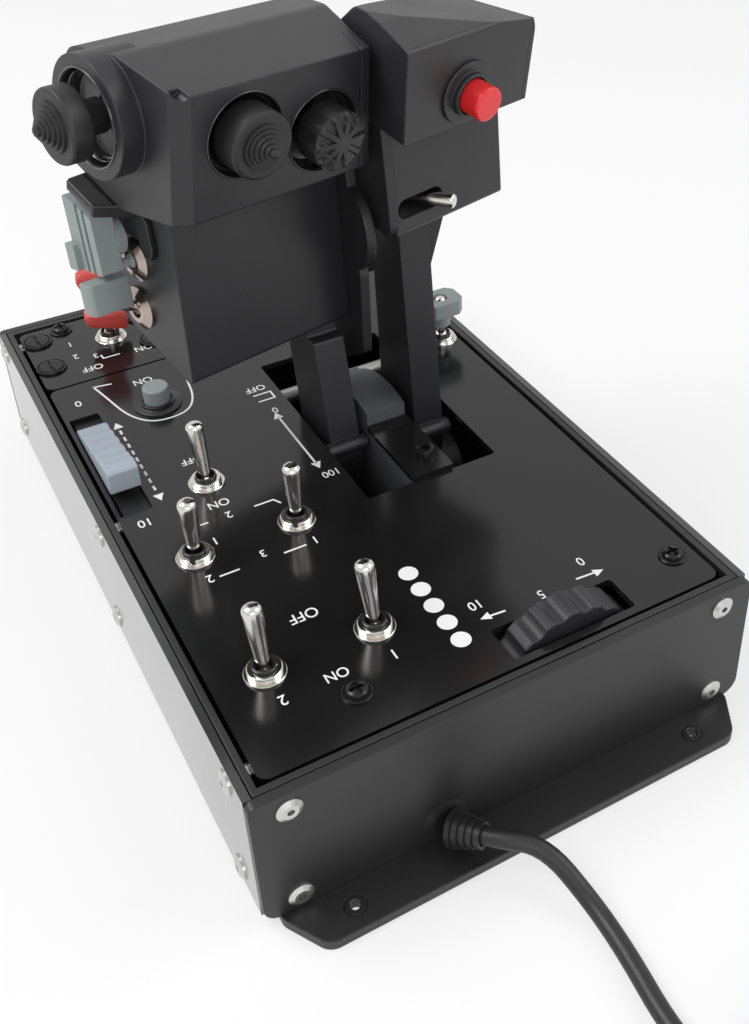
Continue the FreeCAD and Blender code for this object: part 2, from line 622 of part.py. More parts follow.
def bearing_blocks():
    """Two pillow blocks on the floor, outside the levers."""
    piece = new_body("bearing_block", kept=False)
    drawn = new_sketch(piece, "YZ_Plane")
    half = "bearing_width/2"
    outline(drawn, [
        ("stop_y - 7", FLOOR_TOP, 0), ("pivot_y + " + half, FLOOR_TOP, 0),
        ("pivot_y + " + half, "pivot_z + " + half, "bearing_width*0.45"),
        ("pivot_y - " + half, "pivot_z + " + half, 4.0),
        ("stop_y + 6", "stop_z + 4.5", 3.0), ("stop_y - 7", "stop_z + 4.5", 3.0)])
    pad(piece, drawn, "bearing_t", both=True)
    holes(piece, "YZ_Plane", [("pivot_y", "pivot_z")], "pivot_r + pivot_gap")
    holes(piece, "YZ_Plane", [("stop_y", "stop_z")], "stop_r + pivot_gap")
    offset = "(arm_spread + arm_t/2 + bearing_clear + bearing_t/2)"
    copies("bearing_blocks", piece, [("slot_x - " + offset, 0, 0, UPRIGHT),
                                     ("slot_x + " + offset, 0, 0, UPRIGHT)])


def circuit_board():
    board = new_body("board", kept=False)
    drawn = new_sketch(board, "XY_Plane", "8")
    rectangle(drawn, 12, 60, 30, 92, 1.5)
    pad(board, drawn, 1.6)
    corners = [(x, y) for x in (16, 56) for y in (34, 88)]
    holes(board, "XY_Plane", corners, 1.6)
    pieces = [board]
    for number, (x, y) in enumerate(corners):
        spacer = doc.addObject("Part::Cylinder", "spacer_%d" % number)
        spacer.Radius = 2.6
        spacer.setExpression("Height", bound("8 - " + FLOOR_TOP))
        pieces.append(place(spacer, x, y, FLOOR_TOP))
    chips = new_body("chips", kept=False)
    drawn = new_sketch(chips, "XY_Plane", "9.6")
    rectangle(drawn, 28, 42, 54, 68)
    rectangle(drawn, 17, 23, 44, 76)
    rectangle(drawn, 48, 55, 50, 68)
    pad(chips, drawn, 2.2)
    together("circuit_board", pieces + [chips])


def lever_place(side, x=0, y=0, z=0, rotation=None):
    """A place carried by a lever, from its pivot point at the arm's middle."""
    arm_x = RIGHT_ARM_X if side == "right" else LEFT_ARM_X
    lean = size("right_lean") if side == "right" else 0
    stand = Placement(Vector(size(arm_x), size("pivot_y"), size("pivot_z")),
                      Rotation(Vector(1, 0, 0), lean))
    return stand.multiply(Placement(Vector(size(x), size(y), size(z)), rotation or Rotation()))


def grip_place(side, u=0, w=0, z=0, rotation=None):
    """A place on a grip: u along its yawed front, w forward of it, z up."""
    yaw = Placement(Vector(), Rotation(Vector(0, 0, 1), size("grip_yaw")))
    inner = Placement(Vector(size(u), size(w), size(z)), rotation or Rotation())
    return lever_place(side).multiply(yaw).multiply(inner)


def lever_body(name, side, kept=True, yawed=False):
    piece = new_body(name, kept)
    piece.Placement = grip_place(side) if yawed else lever_place(side)
    return piece


def arm(name, side, top_corners):
    """A flat lever with a round hub, a shaft bore and a detent pin."""
    body = lever_body(name + "_bar", side, kept=False)
    drawn = new_sketch(body, "YZ_Plane")
    outline(drawn, [
        ("-hub_r", "-hub_r", "hub_r*0.98"), ("hub_r", "-hub_r", "hub_r*0.98"),
        ("hub_r", "9", 8), ("arm_front", "arm_knee - 12", 8),
    ] + top_corners + [("-arm_back", "arm_knee - 6", 8), ("-hub_r", "8", 8)])
    pad(body, drawn, "arm_t", both=True)
    holes(body, "YZ_Plane", [(0, 0)], "pivot_r + pivot_gap")
    holes(body, "YZ_Plane", [("arm_front", "pin_z")], "pin_r + pin_gap")
    pin = lever_body(name + "_pin", side, kept=False)
    drawn = new_sketch(pin, "YZ_Plane")
    circle(drawn, "arm_front", "pin_z", "pin_r")
    pad(pin, drawn, "pin_len", both=True)
    return body, pin


def right_arm():
    tang_low = "right_shoulder"
    body, pin = arm("right_arm", "right", [
        ("arm_front - 2.9", tang_low, 1.0), ("tang_front", tang_low, 1.0),
        ("tang_front", "right_arm_top", 1.5), ("-tang_back", "right_arm_top", 1.5),
        ("-tang_back", tang_low, 1.0), ("-arm_back - 1", tang_low, 1.0)])
    together("right_arm", [body, pin])


def left_arm():
    """The left lever widens outward under its grip."""
    body, pin = arm("left_arm", "left", [
        ("arm_front - 6.6", "left_arm_top", 0), ("-arm_back - 2.2", "left_arm_top", 0)])
    flare = new_sketch(body, "XZ_Plane", "-arm_front + 8")
    outline(flare, [("-arm_t/2 + 0.5", "left_arm_top - 24", 0),
                    ("-arm_t/2 + 0.5", "left_arm_top", 0), ("-arm_t/2 - 7", "left_arm_top", 0)])
    pad(body, flare, "arm_front - 8 + arm_back")
    together("left_arm", [body, pin])


# -------------------------------------------------------------------- grips
YAW = "grip_yaw*1deg"


def yawed(x, y):
    """A lever's own x, y written along its yawed grip."""
    along = "(%s)*cos(%s) + (%s)*sin(%s)" % (x, YAW, y, YAW)
    across = "-(%s)*sin(%s) + (%s)*cos(%s)" % (x, YAW, y, YAW)
    return along, across


def trim_inner(piece, side, reach):
    """Cut a yawed piece square to the shaft where the levers' gap begins."""
    sign = "-" if side == "right" else ""
    far = "-80" if side == "right" else "80"
    cut = new_sketch(piece, "XY_Plane")
    corners = []
    for w in ("-60", "60"):
        edge = "(%s(%s) + (%s)*sin(%s))/cos(%s)" % (sign, reach, w, YAW, YAW)
        corners.append((edge, w, 0))
    outline(cut, corners + [(far, "60", 0), (far, "-60", 0)])
    pocket(piece, cut)


def slice_inner(piece, side, reach):
    """Keep only the slice between the levers' gap and the reach inside it."""
    sign = "-" if side == "right" else ""
    near = "80" if side == "right" else "-80"
    cut = new_sketch(piece, "XY_Plane")
    corners = []
    for w in ("-60", "60"):
        edge = "(%s(%s) + (%s)*sin(%s))/cos(%s)" % (sign, reach, w, YAW, YAW)
        corners.append((edge, w, 0))
    outline(cut, corners + [(near, "60", 0), (near, "-60", 0)])
    pocket(piece, cut)


def carve(name, base, tools, kept=True):
    """What is left of a piece once the tools are taken out of it."""
    for tool in tools:
        rest = doc.addObject("Part::Cut", name + "_cut")
        rest.Base, rest.Tool = base, tool
        base = rest
    return listed(base, name) if kept else base


def drum(name, radius, height, stand):
    """A plain cylinder, for a tool or a pin, standing at a given place."""
    tool = doc.addObject("Part::Cylinder", name)
    tool.setExpression("Radius", bound(radius))
    tool.setExpression("Height", bound(height))
    tool.Placement = stand
    return tool


def slab(name, stand, shift, angle):
    """A big flat tool that shaves an edge off, leaning about its own Y."""
    tool = doc.addObject("Part::Box", name)
    tool.Length, tool.Width, tool.Height = 80, 240, 40
    lean = Placement(Vector(size(shift), 0, size(shift)), Rotation(Vector(0, 1, 0), angle))
    tool.Placement = stand.multiply(lean).multiply(Placement(Vector(-40, -120, 0), Rotation()))
    return tool


def facing(side, u, z, out=0):
    """A place on a head's front face, its Z pointing out of that face."""
    mark = side[0]
    tilt = size(mark + "_head_tilt")
    rise = "(%s) - %s_seam" % (z, mark)
    w = "%s_head_front + (%s)*tan(%s_head_tilt*1deg)" % (mark, rise, mark)
    stand = grip_place(side, u, w, z, Rotation(Vector(1, 0, 0), -90 - tilt))
    return stand.multiply(Placement(Vector(0, 0, size(out)), Rotation()))


def outward(side, w, z, out=0):
    """A place on the right grip's outer side, its Z pointing outward."""
    return grip_place(side, out, w, z, Rotation(Vector(0, 1, 0), 90))


def right_profile(drawn, low):
    """The right head seen from its end; low lifts it off the seam."""
    tan_tilt = "tan(r_head_tilt*1deg)"
    seam = "r_seam + " + low
    outline(drawn, [
        ("r_head_front", seam, 0),
        ("r_head_front + (r_head_brow - r_seam)*" + tan_tilt, "r_head_brow", 0),
        ("14", "r_head_top - 1.0", 12), ("-8", "r_head_top - 0.5", 8),
        ("-r_head_back", "r_head_top - 14", 8),
        ("-r_head_back", "%s + (1 + r_head_back)*r_seam_rise" % seam, 1.0),
        ("1", seam, 0)])


def right_head_block(name, kept):
    block = lever_body(name, "right", kept=kept, yawed=True)
    drawn = new_sketch(block, "YZ_Plane", "-25")
    right_profile(drawn, "0.2")
    pad(block, drawn, "r_head_out + 25")
    return block


def right_grip_head():
    block = right_head_block("right_head_block", False)
    trim_inner(block, "right", "inner_reach - cap_t")
    facet = slab("facet", facing("right", "r_head_out", "r_seam"), "-r_facet/2", 45)
    boss = new_body("hat_boss", kept=False)
    boss.Placement = block.Placement
    rim = new_sketch(boss, "YZ_Plane", "r_head_out - well_depth")
    circle(rim, "boss_w", "boss_z", "boss_r")
    pad(boss, rim, "well_depth + boss_len")
    wells = []
    for u, z in (("slew_u", "slew_z"), ("star_u", "star_z")):
        wells.append(drum("well", "well_r", "well_depth + 5",
                          facing("right", u, z, "-well_depth")))
    wells.append(drum("screw_recess", "recess_r", "recess_depth + 10",
                      facing("right", "recess_u", "recess_z", "-recess_depth - 2")))
    wells.append(drum("well", "well_r + 1.2", "well_depth + 5", outward(
        "right", "boss_w", "boss_z", "r_head_out + boss_len - well_depth")))
    shaped = carve("right_head_facet", block, [facet], kept=False)
    joined = doc.addObject("Part::Fuse", "right_head_joined")
    joined.Base, joined.Tool = shaped, boss
    carve("right_grip_head", joined, wells)


def right_head_cap():
    """The end plate of the right head, beside the other lever."""
    cap = right_head_block("right_head_cap", True)
    trim_inner(cap, "right", "inner_reach")
    slice_inner(cap, "right", "inner_reach - cap_t")


def right_grip_body():
    piece = lever_body("right_grip_body", "right", yawed=True)
    drawn = new_sketch(piece, "YZ_Plane", "-25")
    outline(drawn, [
        ("r_body_front", "r_body_low", 1.5),
        ("r_body_front + (r_seam - r_body_low)*r_body_lean", "r_seam", 0),
        ("1", "r_seam", 0),
        ("-r_body_deep", "r_seam + (1 + r_body_deep)*r_seam_rise", 2),
        ("-r_body_deep", "r_body_rise", 3)])
    pad(piece, drawn, "r_body_out + 25")
    trim_inner(piece, "right", "inner_reach - plate_t")
    cavity = new_sketch(piece, "XY_Plane", "right_arm_top + tang_gap")
    half = "(arm_t/2 + tang_gap)"
    ends = [("-" + half, "-tang_back - tang_gap"), (half, "-tang_back - tang_gap"),
            (half, "tang_front + tang_gap"), ("-" + half, "tang_front + tang_gap")]
    outline(cavity, [yawed(x, y) + (0,) for x, y in ends])
    pocket(piece, cavity, "right_arm_top")
    bores = new_sketch(piece, "YZ_Plane", "r_body_out")
    circle(bores, "switch_low_w", "switch_low_z", "bushing_r + bushing_gap")
    circle(bores, "switch_top_w", "switch_top_z", "bushing_r + bushing_gap")
    pocket(piece, bores, "12")
    return piece


def right_grip_side_plate():
    """The flat inner plate with its round ear in front."""
    piece = lever_body("right_grip_side_plate", "right")
    drawn = new_sketch(piece, "YZ_Plane", "-inner_reach")
    slope = "r_seam_rise*0.966"
    outline(drawn, [
        ("13.3", "right_shoulder - 6.7", 2), ("18.1", "82.3", 3), ("17", "r_seam", 0),
        ("-2", "r_seam", 0), ("-22", "r_seam + 20*" + slope, 2),
        ("-22", "r_body_rise - 2", 4), ("-1.3", "right_shoulder - 13.5", 3)])
    pad(piece, drawn, "plate_t")
    ear = new_sketch(piece, "YZ_Plane", "-inner_reach")
    circle(ear, "13", "97", "13.5")
    pad(piece, ear, "plate_t")


def left_profile(drawn, brow):
    """The left head seen from its end, with a given round at its brow."""
    tan_tilt = "tan(l_head_tilt*1deg)"
    outline(drawn, [
        ("l_head_front", "l_seam", 0),
        ("l_head_front + (l_head_brow - l_seam)*" + tan_tilt, "l_head_brow", brow),
        ("14", "l_head_top - 0.8", 6), ("1", "l_head_top + 0.8", 10),
        ("-12", "l_head_top - 8", 8), ("-19", "148", 8), ("-19", "l_seam", 0)])


def left_head_block(name, kept, brow):
    block = lever_body(name, "left", kept=kept, yawed=True)
    drawn = new_sketch(block, "YZ_Plane", "-l_head_out")
    left_profile(drawn, brow)
    pad(block, drawn, "l_head_out + 32")
    trim_inner(block, "left", "inner_reach")
    lower = new_sketch(block, "XZ_Plane", "-60")
    outline(lower, [("-l_head_out - 1", "l_head_top - 7", 0), ("20", "l_head_top + 1", 0),
                    ("20", "l_head_top + 20", 0), ("-l_head_out - 1", "l_head_top + 20", 0)])
    pocket(block, lower)
    return block


def left_grip_head():
    block = left_head_block("left_head_block", False, 1.5)
    end = new_sketch(block, "XY_Plane")
    rectangle(end, "-l_head_out - 5", "-l_head_out + cap_t", "-60", "60")
    pocket(block, end)
    bore = drum("button_well", "red_r + hat_gap", "12", facing("left", "red_u", "red_z", "-11"))
    carve("left_grip_head", block, [bore])


def left_head_cap():
    """The rounded end plate of the left head."""
    cap = left_head_block("left_head_cap", True, 7)
    cut = new_sketch(cap, "XY_Plane")
    rectangle(cut, "-l_head_out + cap_t", "60", "-60", "60")
    pocket(cap, cut)
    rim = lambda e: all(abs(v.X + size("l_head_out")) < 0.01 for v in e.Vertexes)
    high = lambda e: e.BoundBox.Center.z > size("l_seam") + 1
    soften(cap, lambda e: rim(e) and high(e), "cap_t*0.35", "Chamfer")


def left_grip_body():
    piece = lever_body("left_grip_body", "left", yawed=True)
    drawn = new_sketch(piece, "YZ_Plane", "-l_body_out")
    outline(drawn, [
        ("l_body_front", "l_body_low", 1.5), ("l_body_front - 2", "l_seam", 0),
        ("-l_body_deep", "l_seam", 2), ("-l_body_deep", "l_body_low", 4)])
    pad(piece, drawn, "l_body_out + 28")
    trim_inner(piece, "left", "inner_reach - plate_t")
    slot = new_sketch(piece, "XZ_Plane", "-l_body_front - 4")
    rectangle(slot, "-4.2", "13.2", "pinky_slot_low", "pinky_slot_high", 2.9)
    pocket(piece, slot, "18", back=True)
    return piece


def left_grip_side_plate():
    piece = lever_body("left_grip_side_plate", "left")
    drawn = new_sketch(piece, "YZ_Plane", "inner_reach - plate_t")
    outline(drawn, [("-18", "80", 3), ("0", "80", 3), ("4", "100", 2), ("19", "100", 4),
                    ("15.2", "l_seam", 0), ("-18", "l_seam", 0)])
    pad(piece, drawn, "plate_t")


# ---------------------------------------------------- hats, buttons, levers
def hat_foot(radius):
    """The underside that every hat cap shares, from its bore to its skirt."""
    return [("1.9", "hat_pivot + 1.2", 0), ("3.4", "hat_pivot + 1.2", 0),
            ("3.4", "hat_pivot + 3", 0), (radius + " - 2.2", "hat_pivot + 3", 0),
            (radius, "hat_pivot + 5.5", 0)]


HAT_BORE = [(0, "hat_pivot + 3.5", 0), ("1.9", "hat_pivot + 3.5", 0)]


def cone_hat(name, radius, rim, stand):
    """A cap with stepped rings rising to a point."""
    piece = new_body(name)
    steps = []
    for number in range(5):
        ring = "%s*%.2f" % (radius, 0.62 - 0.12 * number)
        steps += [(ring, "hat_pivot + %s + %.2f" % (rim, 0.8 + 0.95 * number), 0),
                  (ring, "hat_pivot + %s + %.2f" % (rim, 1.3 + 0.95 * number), 0)]
    turn(piece, hat_foot(radius) + [(radius, "hat_pivot + " + rim, 0.5)] + steps + [
        (0, "hat_pivot + %s + 6.2" % rim, 0)] + HAT_BORE)
    piece.Placement = stand


def star_hat(stand):
    """A cap with pairs of grooves like spokes."""
    piece = new_body("star_hat")
    top = "hat_pivot + star_rim"
    turn(piece, hat_foot("star_r - 0.8") + [
        ("star_r", top + " - 4", 0), ("star_r", top, 0.6), (0, top + " + 1.6", 0)] + HAT_BORE)
    groove = new_sketch(piece, "XY_Plane", top + " + 1.7")
    for x in ("-1.1", "1.1"):
        rectangle(groove, "(%s) - 0.25" % x, "(%s) + 0.25" % x, "2.6", "star_r + 1")
    cut = pocket(piece, groove, "2.2")
    ring = piece.newObject("PartDesign::PolarPattern", "Spokes")
    ring.Originals = [cut]
    ring.Axis = (groove, ["N_Axis"])
    ring.Angle = 360.0
    ring.Occurrences = 6
    piece.Tip = ring
    piece.Placement = stand


def gimbal(name, stand):
    """The little ring that lets a hat tilt two ways."""
    piece = new_body(name)
    turn(piece, [("1.7", "hat_pivot - 0.5", 0), ("3.4", "hat_pivot - 0.5", 0),
                 ("3.4", "hat_pivot + 0.5", 0), ("1.7", "hat_pivot + 0.5", 0)])
    piece.Placement = stand


def hats():
    """Three hats on the right grip, each on its base with a gimbal ring."""
    stands = {
        "slew": facing("right", "slew_u", "slew_z", "-well_depth"),
        "star": facing("right", "star_u", "star_z", "-well_depth"),
        "mic": outward("right", "boss_w", "boss_z", "r_head_out + boss_len - well_depth"),
    }
    cone_hat("slew_hat", "slew_r", "slew_rim", stands["slew"])
    star_hat(stands["star"])
    cone_hat("mic_hat", "mic_r", "mic_rim", stands["mic"])
    bases = []
    for name, stand in stands.items():
        gimbal(name + "_gimbal", stand)
        base = new_body(name + "_base", kept=False)
        turn(base, [(0, 0, 0), ("well_r - 0.3", 0, 0), ("well_r - 0.3", "1.2", 0),
                    ("1.3", "1.2", 0), ("1.3", "hat_pivot + 1.5", 0), (0, "hat_pivot + 1.5", 0)])
        base.Placement = stand
        bases.append(base)
    together("hat_bases", bases)


def red_button():
    stand = facing("left", "red_u", "red_z")
    piece = new_body("red_button")
    turn(piece, [(0, "-7", 0), ("red_r", "-7", 0), ("red_r", "red_len", 0.8), (0, "red_len", 0)])
    piece.Placement = stand
    bezel = new_body("red_button_bezel")
    bore = "red_r + hat_gap"
    turn(bezel, [(bore, 0, 0), ("bezel_r", 0, 0), ("bezel_r", "bezel_t", 0.2),
                 ("bezel_rim_r", "bezel_t", 0), ("bezel_rim_r", "bezel_rim_t", 0.4),
                 (bore, "bezel_rim_t", 0)])
    bezel.Placement = stand


def pinky_toggle():
    """The little lever in the slot, tilted outward about an upright pin."""
    piece = new_body("pinky_toggle")
    turn(piece, [(0, "-2.3", 0), ("2.3", "-2.3", 2.2), ("2.3", "2.0", 1.4), ("1.5", "2.6", 0),
                 ("2.3", "pinky_len", 1.2), (0, "pinky_len", 0)])
    lean = Rotation(Vector(0, 0, 1), 27).multiply(Rotation(Vector(1, 0, 0), -90))
    piece.Placement = grip_place("left", "pinky_u", "l_body_front - 9.5", "pinky_z", lean)


def grip_switches():
    """Nuts, shroud and two grey rocker levers on the right grip's side."""
    nuts = []
    for w, z in (("switch_low_w", "switch_low_z"), ("switch_top_w", "switch_top_z")):
        nut = new_body("nut", kept=False)
        turn(nut, [("ball_bore", "-11", 0), ("bushing_r", "-11", 0), ("bushing_r", 0, 0),
                   ("grip_nut_r", 0, 0), ("grip_nut_r", "grip_nut_t*0.4", 0),
                   ("bushing_r + 1", "grip_nut_t", 0), ("ball_bore", "grip_nut_t", 0)])
        nut.Placement = outward("right", w, z, "r_body_out")
        nuts.append(nut)
    together("grip_switch_nuts", nuts)
    shroud = lever_body("switch_shroud", "right", yawed=True)
    side = new_sketch(shroud, "YZ_Plane", "r_body_out")
    outline(side, [("4", "112", 3), ("1", "r_seam - 0.5", 0),
                   ("-16.5", "r_seam - 0.5 + 17.5*shelf_slope", 2),
                   ("-18.5", "120", 2), ("-18.5", "110", 3), ("-6", "108", 4)])
    pad(shroud, side, "shroud_t")
    shelf = new_sketch(shroud, "YZ_Plane", "r_body_out")
    low = "r_seam - 0.5 - shelf_t"
    outline(shelf, [("1", "r_seam - 0.5", 0), ("-16.5", "r_seam - 0.5 + 17.5*shelf_slope", 1),
                    ("-17.4", low + " + 17.7*shelf_slope", 0.8), ("0.2", low, 0)])
    pad(shroud, shelf, "shroud_reach")
    grey_switch("upper_grey_switch", "switch_top_w", "switch_top_z", "0", upper_block)
    grey_switch("lower_grey_switch", "switch_low_w", "switch_low_z", "stem_lean", lower_block)


def grey_switch(name, w, z, lean, shape):
    """A grey lever on a ball stem: the block is what the finger meets."""
    stem = new_body(name + "_stem", kept=False)
    turn(stem, [(0, "-ball_r", 0), ("ball_r", "-ball_r", "ball_r*0.96"),
                ("ball_r", "2.0", 1.4), ("bat_root_r", "2.6", 0),
                ("1.6", "grey_out + 1.5", 0), (0, "grey_out + 1.5", 0)])
    tip = Placement(Vector(), Rotation(Vector(0, 1, 0), -size(lean)))
    stem.Placement = outward("right", w, z, "r_body_out").multiply(
        Placement(Vector(), Rotation(Vector(0, 1, 0), 0))).multiply(tip)
    block = lever_body(name + "_block", "right", kept=False, yawed=True)
    shape(block)
    whole = doc.addObject("Part::Fuse", name)
    whole.Base, whole.Tool = block, stem
    listed(whole, name)


def upper_block(block):
    """A tall block that follows the hood's slope, ribbed outside, with a boss."""
    drawn = new_sketch(block, "YZ_Plane", "r_body_out + grey_out")
    outline(drawn, [("grey_front", "upper_low", 0.8), ("grey_rear", "upper_low", 0.8),
                    ("grey_rear", "upper_rear_top", 0.8), ("grey_front", "upper_front_top", 0.8)])
    pad(block, drawn, "grey_t")
    boss = new_sketch(block, "YZ_Plane", "r_body_out + grey_out - grey_boss_len")
    circle(boss, "grey_boss_w", "grey_boss_z", "grey_boss_r")
    pad(block, boss, "grey_boss_len + 0.5")
    tab = new_sketch(block, "YZ_Plane", "r_body_out + grey_out + grey_t - 2")
    rectangle(tab, "grey_rear - tab_t", "grey_rear - tab_t + tab_w", "upper_low", "tab_high", 0.5)
    pad(block, tab, "2 + tab_t")
    groove = new_sketch(block, "YZ_Plane", "r_body_out + grey_out + grey_t")
    for number in (1, 2):
        edge = "grey_front - %d*grey_rib_pitch" % number
        rectangle(groove, edge + " - grey_rib_w", edge, "upper_low - 1", "upper_rear_top + 1")
    pocket(block, groove, "grey_rib_t")


def lower_block(block):
    """A plain rounded block under the ribbed one."""
    drawn = new_sketch(block, "YZ_Plane", "r_body_out + grey_out - 1.5")
    rectangle(drawn, "grey_rear", "grey_front", "lower_low", "lower_top", 0.8)
    pad(block, drawn, "grey_t + 2.5")


# ----------------------------------------------------------- panel switches
def switch_places():
    return [(x, y, "panel_top") for x, y, tilt in TOGGLES.values()]


def toggle_housings():
    """The switch bodies under the panel, with their bored bushings."""
    piece = new_body("switch_body", kept=False)
    box = new_sketch(piece, "XY_Plane", "-panel_sheet - switch_t")
    rectangle(box, "-switch_w/2", "switch_w/2", "-switch_l/2", "switch_l/2", 0.5)
    pad(piece, box, "switch_t")
    neck = new_sketch(piece, "XY_Plane", "-panel_sheet")
    circle(neck, 0, 0, "bushing_r")
    pad(piece, neck, "panel_sheet + bushing_rise")
    bore = new_sketch(piece, "XY_Plane", "bushing_rise")
    circle(bore, 0, 0, "ball_bore")
    pocket(piece, bore, "bushing_rise - ball_rise + ball_r + 1")
    copies("toggle_housings", piece, [p + (UPRIGHT,) for p in switch_places()])


def toggle_nuts():
    """Each bushing carries a wide ring with a round dress nut on it."""
    piece = new_body("nut_pair", kept=False)
    bore = "bushing_r + bushing_gap"
    turn(piece, [(bore, 0, 0), ("nut_r", 0, 0), ("nut_r", "nut_t", 0.2),
                 ("dress_r", "nut_t", 0), ("dress_r", "nut_t + dress_t", 0.3),
                 (bore, "nut_t + dress_t", 0)])
    notch = new_sketch(piece, "XY_Plane", "nut_t + dress_t")
    rectangle(notch, "-dress_r - 1", "dress_r + 1", "-0.45", "0.45")
    pocket(piece, notch, "dress_t*0.45")
    copies("toggle_nuts", piece, [p + (UPRIGHT,) for p in switch_places()])


def bat(name, kept, tall="bat_len"):
    """A ball with a round lever that swells to its tip."""
    piece = new_body(name, kept)
    turn(piece, [(0, "-ball_r", 0), ("ball_r", "-ball_r", "ball_r*0.96"),
                 ("ball_r", "ball_r*0.9", 1.5), ("bat_root_r", "ball_r", 0),
                 ("bat_tip_r", tall, "bat_tip_r*0.9"), (0, tall, 0)])
    return piece


def panel_toggles():
    for name, (x, y, tilt) in TOGGLES.items():
        piece = bat(name, True)
        lean = Rotation(Vector(1, 0, 0), -size(tilt))
        place(piece, x, y, "panel_top + ball_rise", lean)


def red_toggle_cap():
    """A saddle-shaped paddle that grips the lever's tip."""
    block = new_body("red_cap_block", kept=False)
    side = new_sketch(block, "YZ_Plane")
    low = "red_cap_low"
    outline(side, [("-4.6", low, 1.5), ("4.6", low, 1.5), ("3.4", low + " + 7", 6),
                   ("4.4", low + " + red_cap_len - 6", 2.8),
                   ("-4.4", low + " + red_cap_len - 6", 2.8), ("-3.4", low + " + 7", 6)])
    pad(block, side, "red_cap_w", both=True)
    waist = new_sketch(block, "XZ_Plane", "-10")
    for sign in ("-", ""):
        circle(waist, sign + "(red_cap_w/2 + 6.4)", low + " + 8.2", "8.2")
    pocket(block, waist, "20", back=True)
    bore = drum("cap_bore", "bat_tip_r + bushing_gap", "7.5",
                Placement(Vector(0, 0, size(low) - 1), Rotation()))
    cap = carve("red_toggle_cap", block, [bore])
    place(cap, RED_X, RED_Y, "panel_top + ball_rise")


def flap_cap():
    """A bevelled grey paddle on the flap switch."""
    block = new_body("flap_cap_block", kept=False)
    top = new_sketch(block, "XY_Plane", "flap_cap_low")
    x, y = "flap_cap_w/2", "flap_cap_l/2"
    bevels = []
    for sx, sy in (("-", "-"), ("", "-"), ("", ""), ("-", "")):
        inner_x = (sx + "(%s - flap_bevel)" % x, sy + "(%s)" % y, 0.6)
        inner_y = (sx + "(%s)" % x, sy + "(%s - flap_bevel)" % y, 0.6)
        bevels += [inner_y, inner_x] if sx == sy else [inner_x, inner_y]
    outline(top, bevels)
    pad(block, top, "flap_cap_t")
    stem = new_sketch(block, "XY_Plane", "flap_stem_low")
    circle(stem, 0, 0, "flap_stem_r")
    pad(block, stem, "flap_cap_low - flap_stem_low + 0.5")
    bore = drum("cap_bore", "bat_tip_r + bushing_gap", "bat_len - flap_stem_low + bushing_gap + 1",
                Placement(Vector(0, 0, size("flap_stem_low") - 1), Rotation()))
    cap = carve("flap_cap", block, [bore])
    place(cap, "flap_x", "flap_y", "panel_top + ball_rise")


def push_button():
    """A grey cap on a plunger, in a dark ring with its body below."""
    cap = new_body("push_button")
    turn(cap, [(0, "-6", 0), ("button_r", "-6", 0), ("button_r", "button_rise", 0.7),
               (0, "button_rise", 0)])
    place(cap, "button_x", "button_y", "panel_top")
    ring = new_body("push_button_ring")
    bore, barrel = "button_r + button_gap", "ring_bore - bushing_gap"
    turn(ring, [(0, "-14", 0), (barrel, "-14", 0), (barrel, 0, 0), ("ring_r", 0, 0),
                ("ring_r", "ring_rise*0.5", 0), (barrel, "ring_rise", 0),
                (bore, "ring_rise", 0), (bore, "-6 - button_travel - 1", 0),
                (0, "-6 - button_travel - 1", 0)])
    place(ring, "button_x", "button_y", "panel_top")


def slider():
    """A wedge with five finger steps that slides along its track."""
    knob = new_body("slider_knob")
    side = new_sketch(knob, "YZ_Plane")
    rear, lift = "-slider_rear", "slider_lift"
    steps = [("-slider_front", lift, 0), ("-slider_front", lift + " + 5*slider_step", 0.6)]
    tread = "(slider_rear - slider_front - 7)/5"
    for number in range(5):
        y = "-slider_front - 7 - %d*%s" % (number, tread)
        steps.append((y, lift + " + %d*slider_step" % (5 - number), 0))
        steps.append((y, lift + " + %d*slider_step" % (4 - number) if number < 4
                      else lift + " + 0.7", 0))
    outline(side, [(rear, lift, 0)] + [(rear, lift + " + 0.7", 0)] + list(reversed(steps[:-1])))
    pad(knob, side, "slider_slot_w - 2.4", both=True)
    lip = new_sketch(knob, "YZ_Plane", "-(slider_slot_w/2) - 0.6")
    rectangle(lip, "-slider_front - 5", "-slider_front", lift, lift + " + 5*slider_step", 0.6)
    pad(knob, lip, "slider_slot_w + 0.4")
    blade = new_sketch(knob, "YZ_Plane")
    rectangle(blade, "-slider_front - 26", "-slider_front - 14", "-panel_sheet - 2.5",
              lift + " + 0.5")
    pad(knob, blade, "3", both=True)
    place(knob, "slider_x", 0, "panel_top")
    track = new_body("slider_track")
    body = new_sketch(track, "XY_Plane", "-panel_sheet - slider_deep")
    rectangle(body, "-slider_slot_w/2", "slider_slot_w/2 - 1.2", "-slider_slot_rear - 3",
              "slider_slot_front + 3", 0.8)
    pad(track, body, "slider_deep")
    groove = new_sketch(track, "XY_Plane", "-panel_sheet")
    rectangle(groove, "-1.9", "1.9", "-slider_front - 26 - slider_travel - 1.5",
              "-slider_front - 14 + slider_travel + 1.5")
    pocket(track, groove, "4")
    place(track, "slider_x", 0, "panel_top")


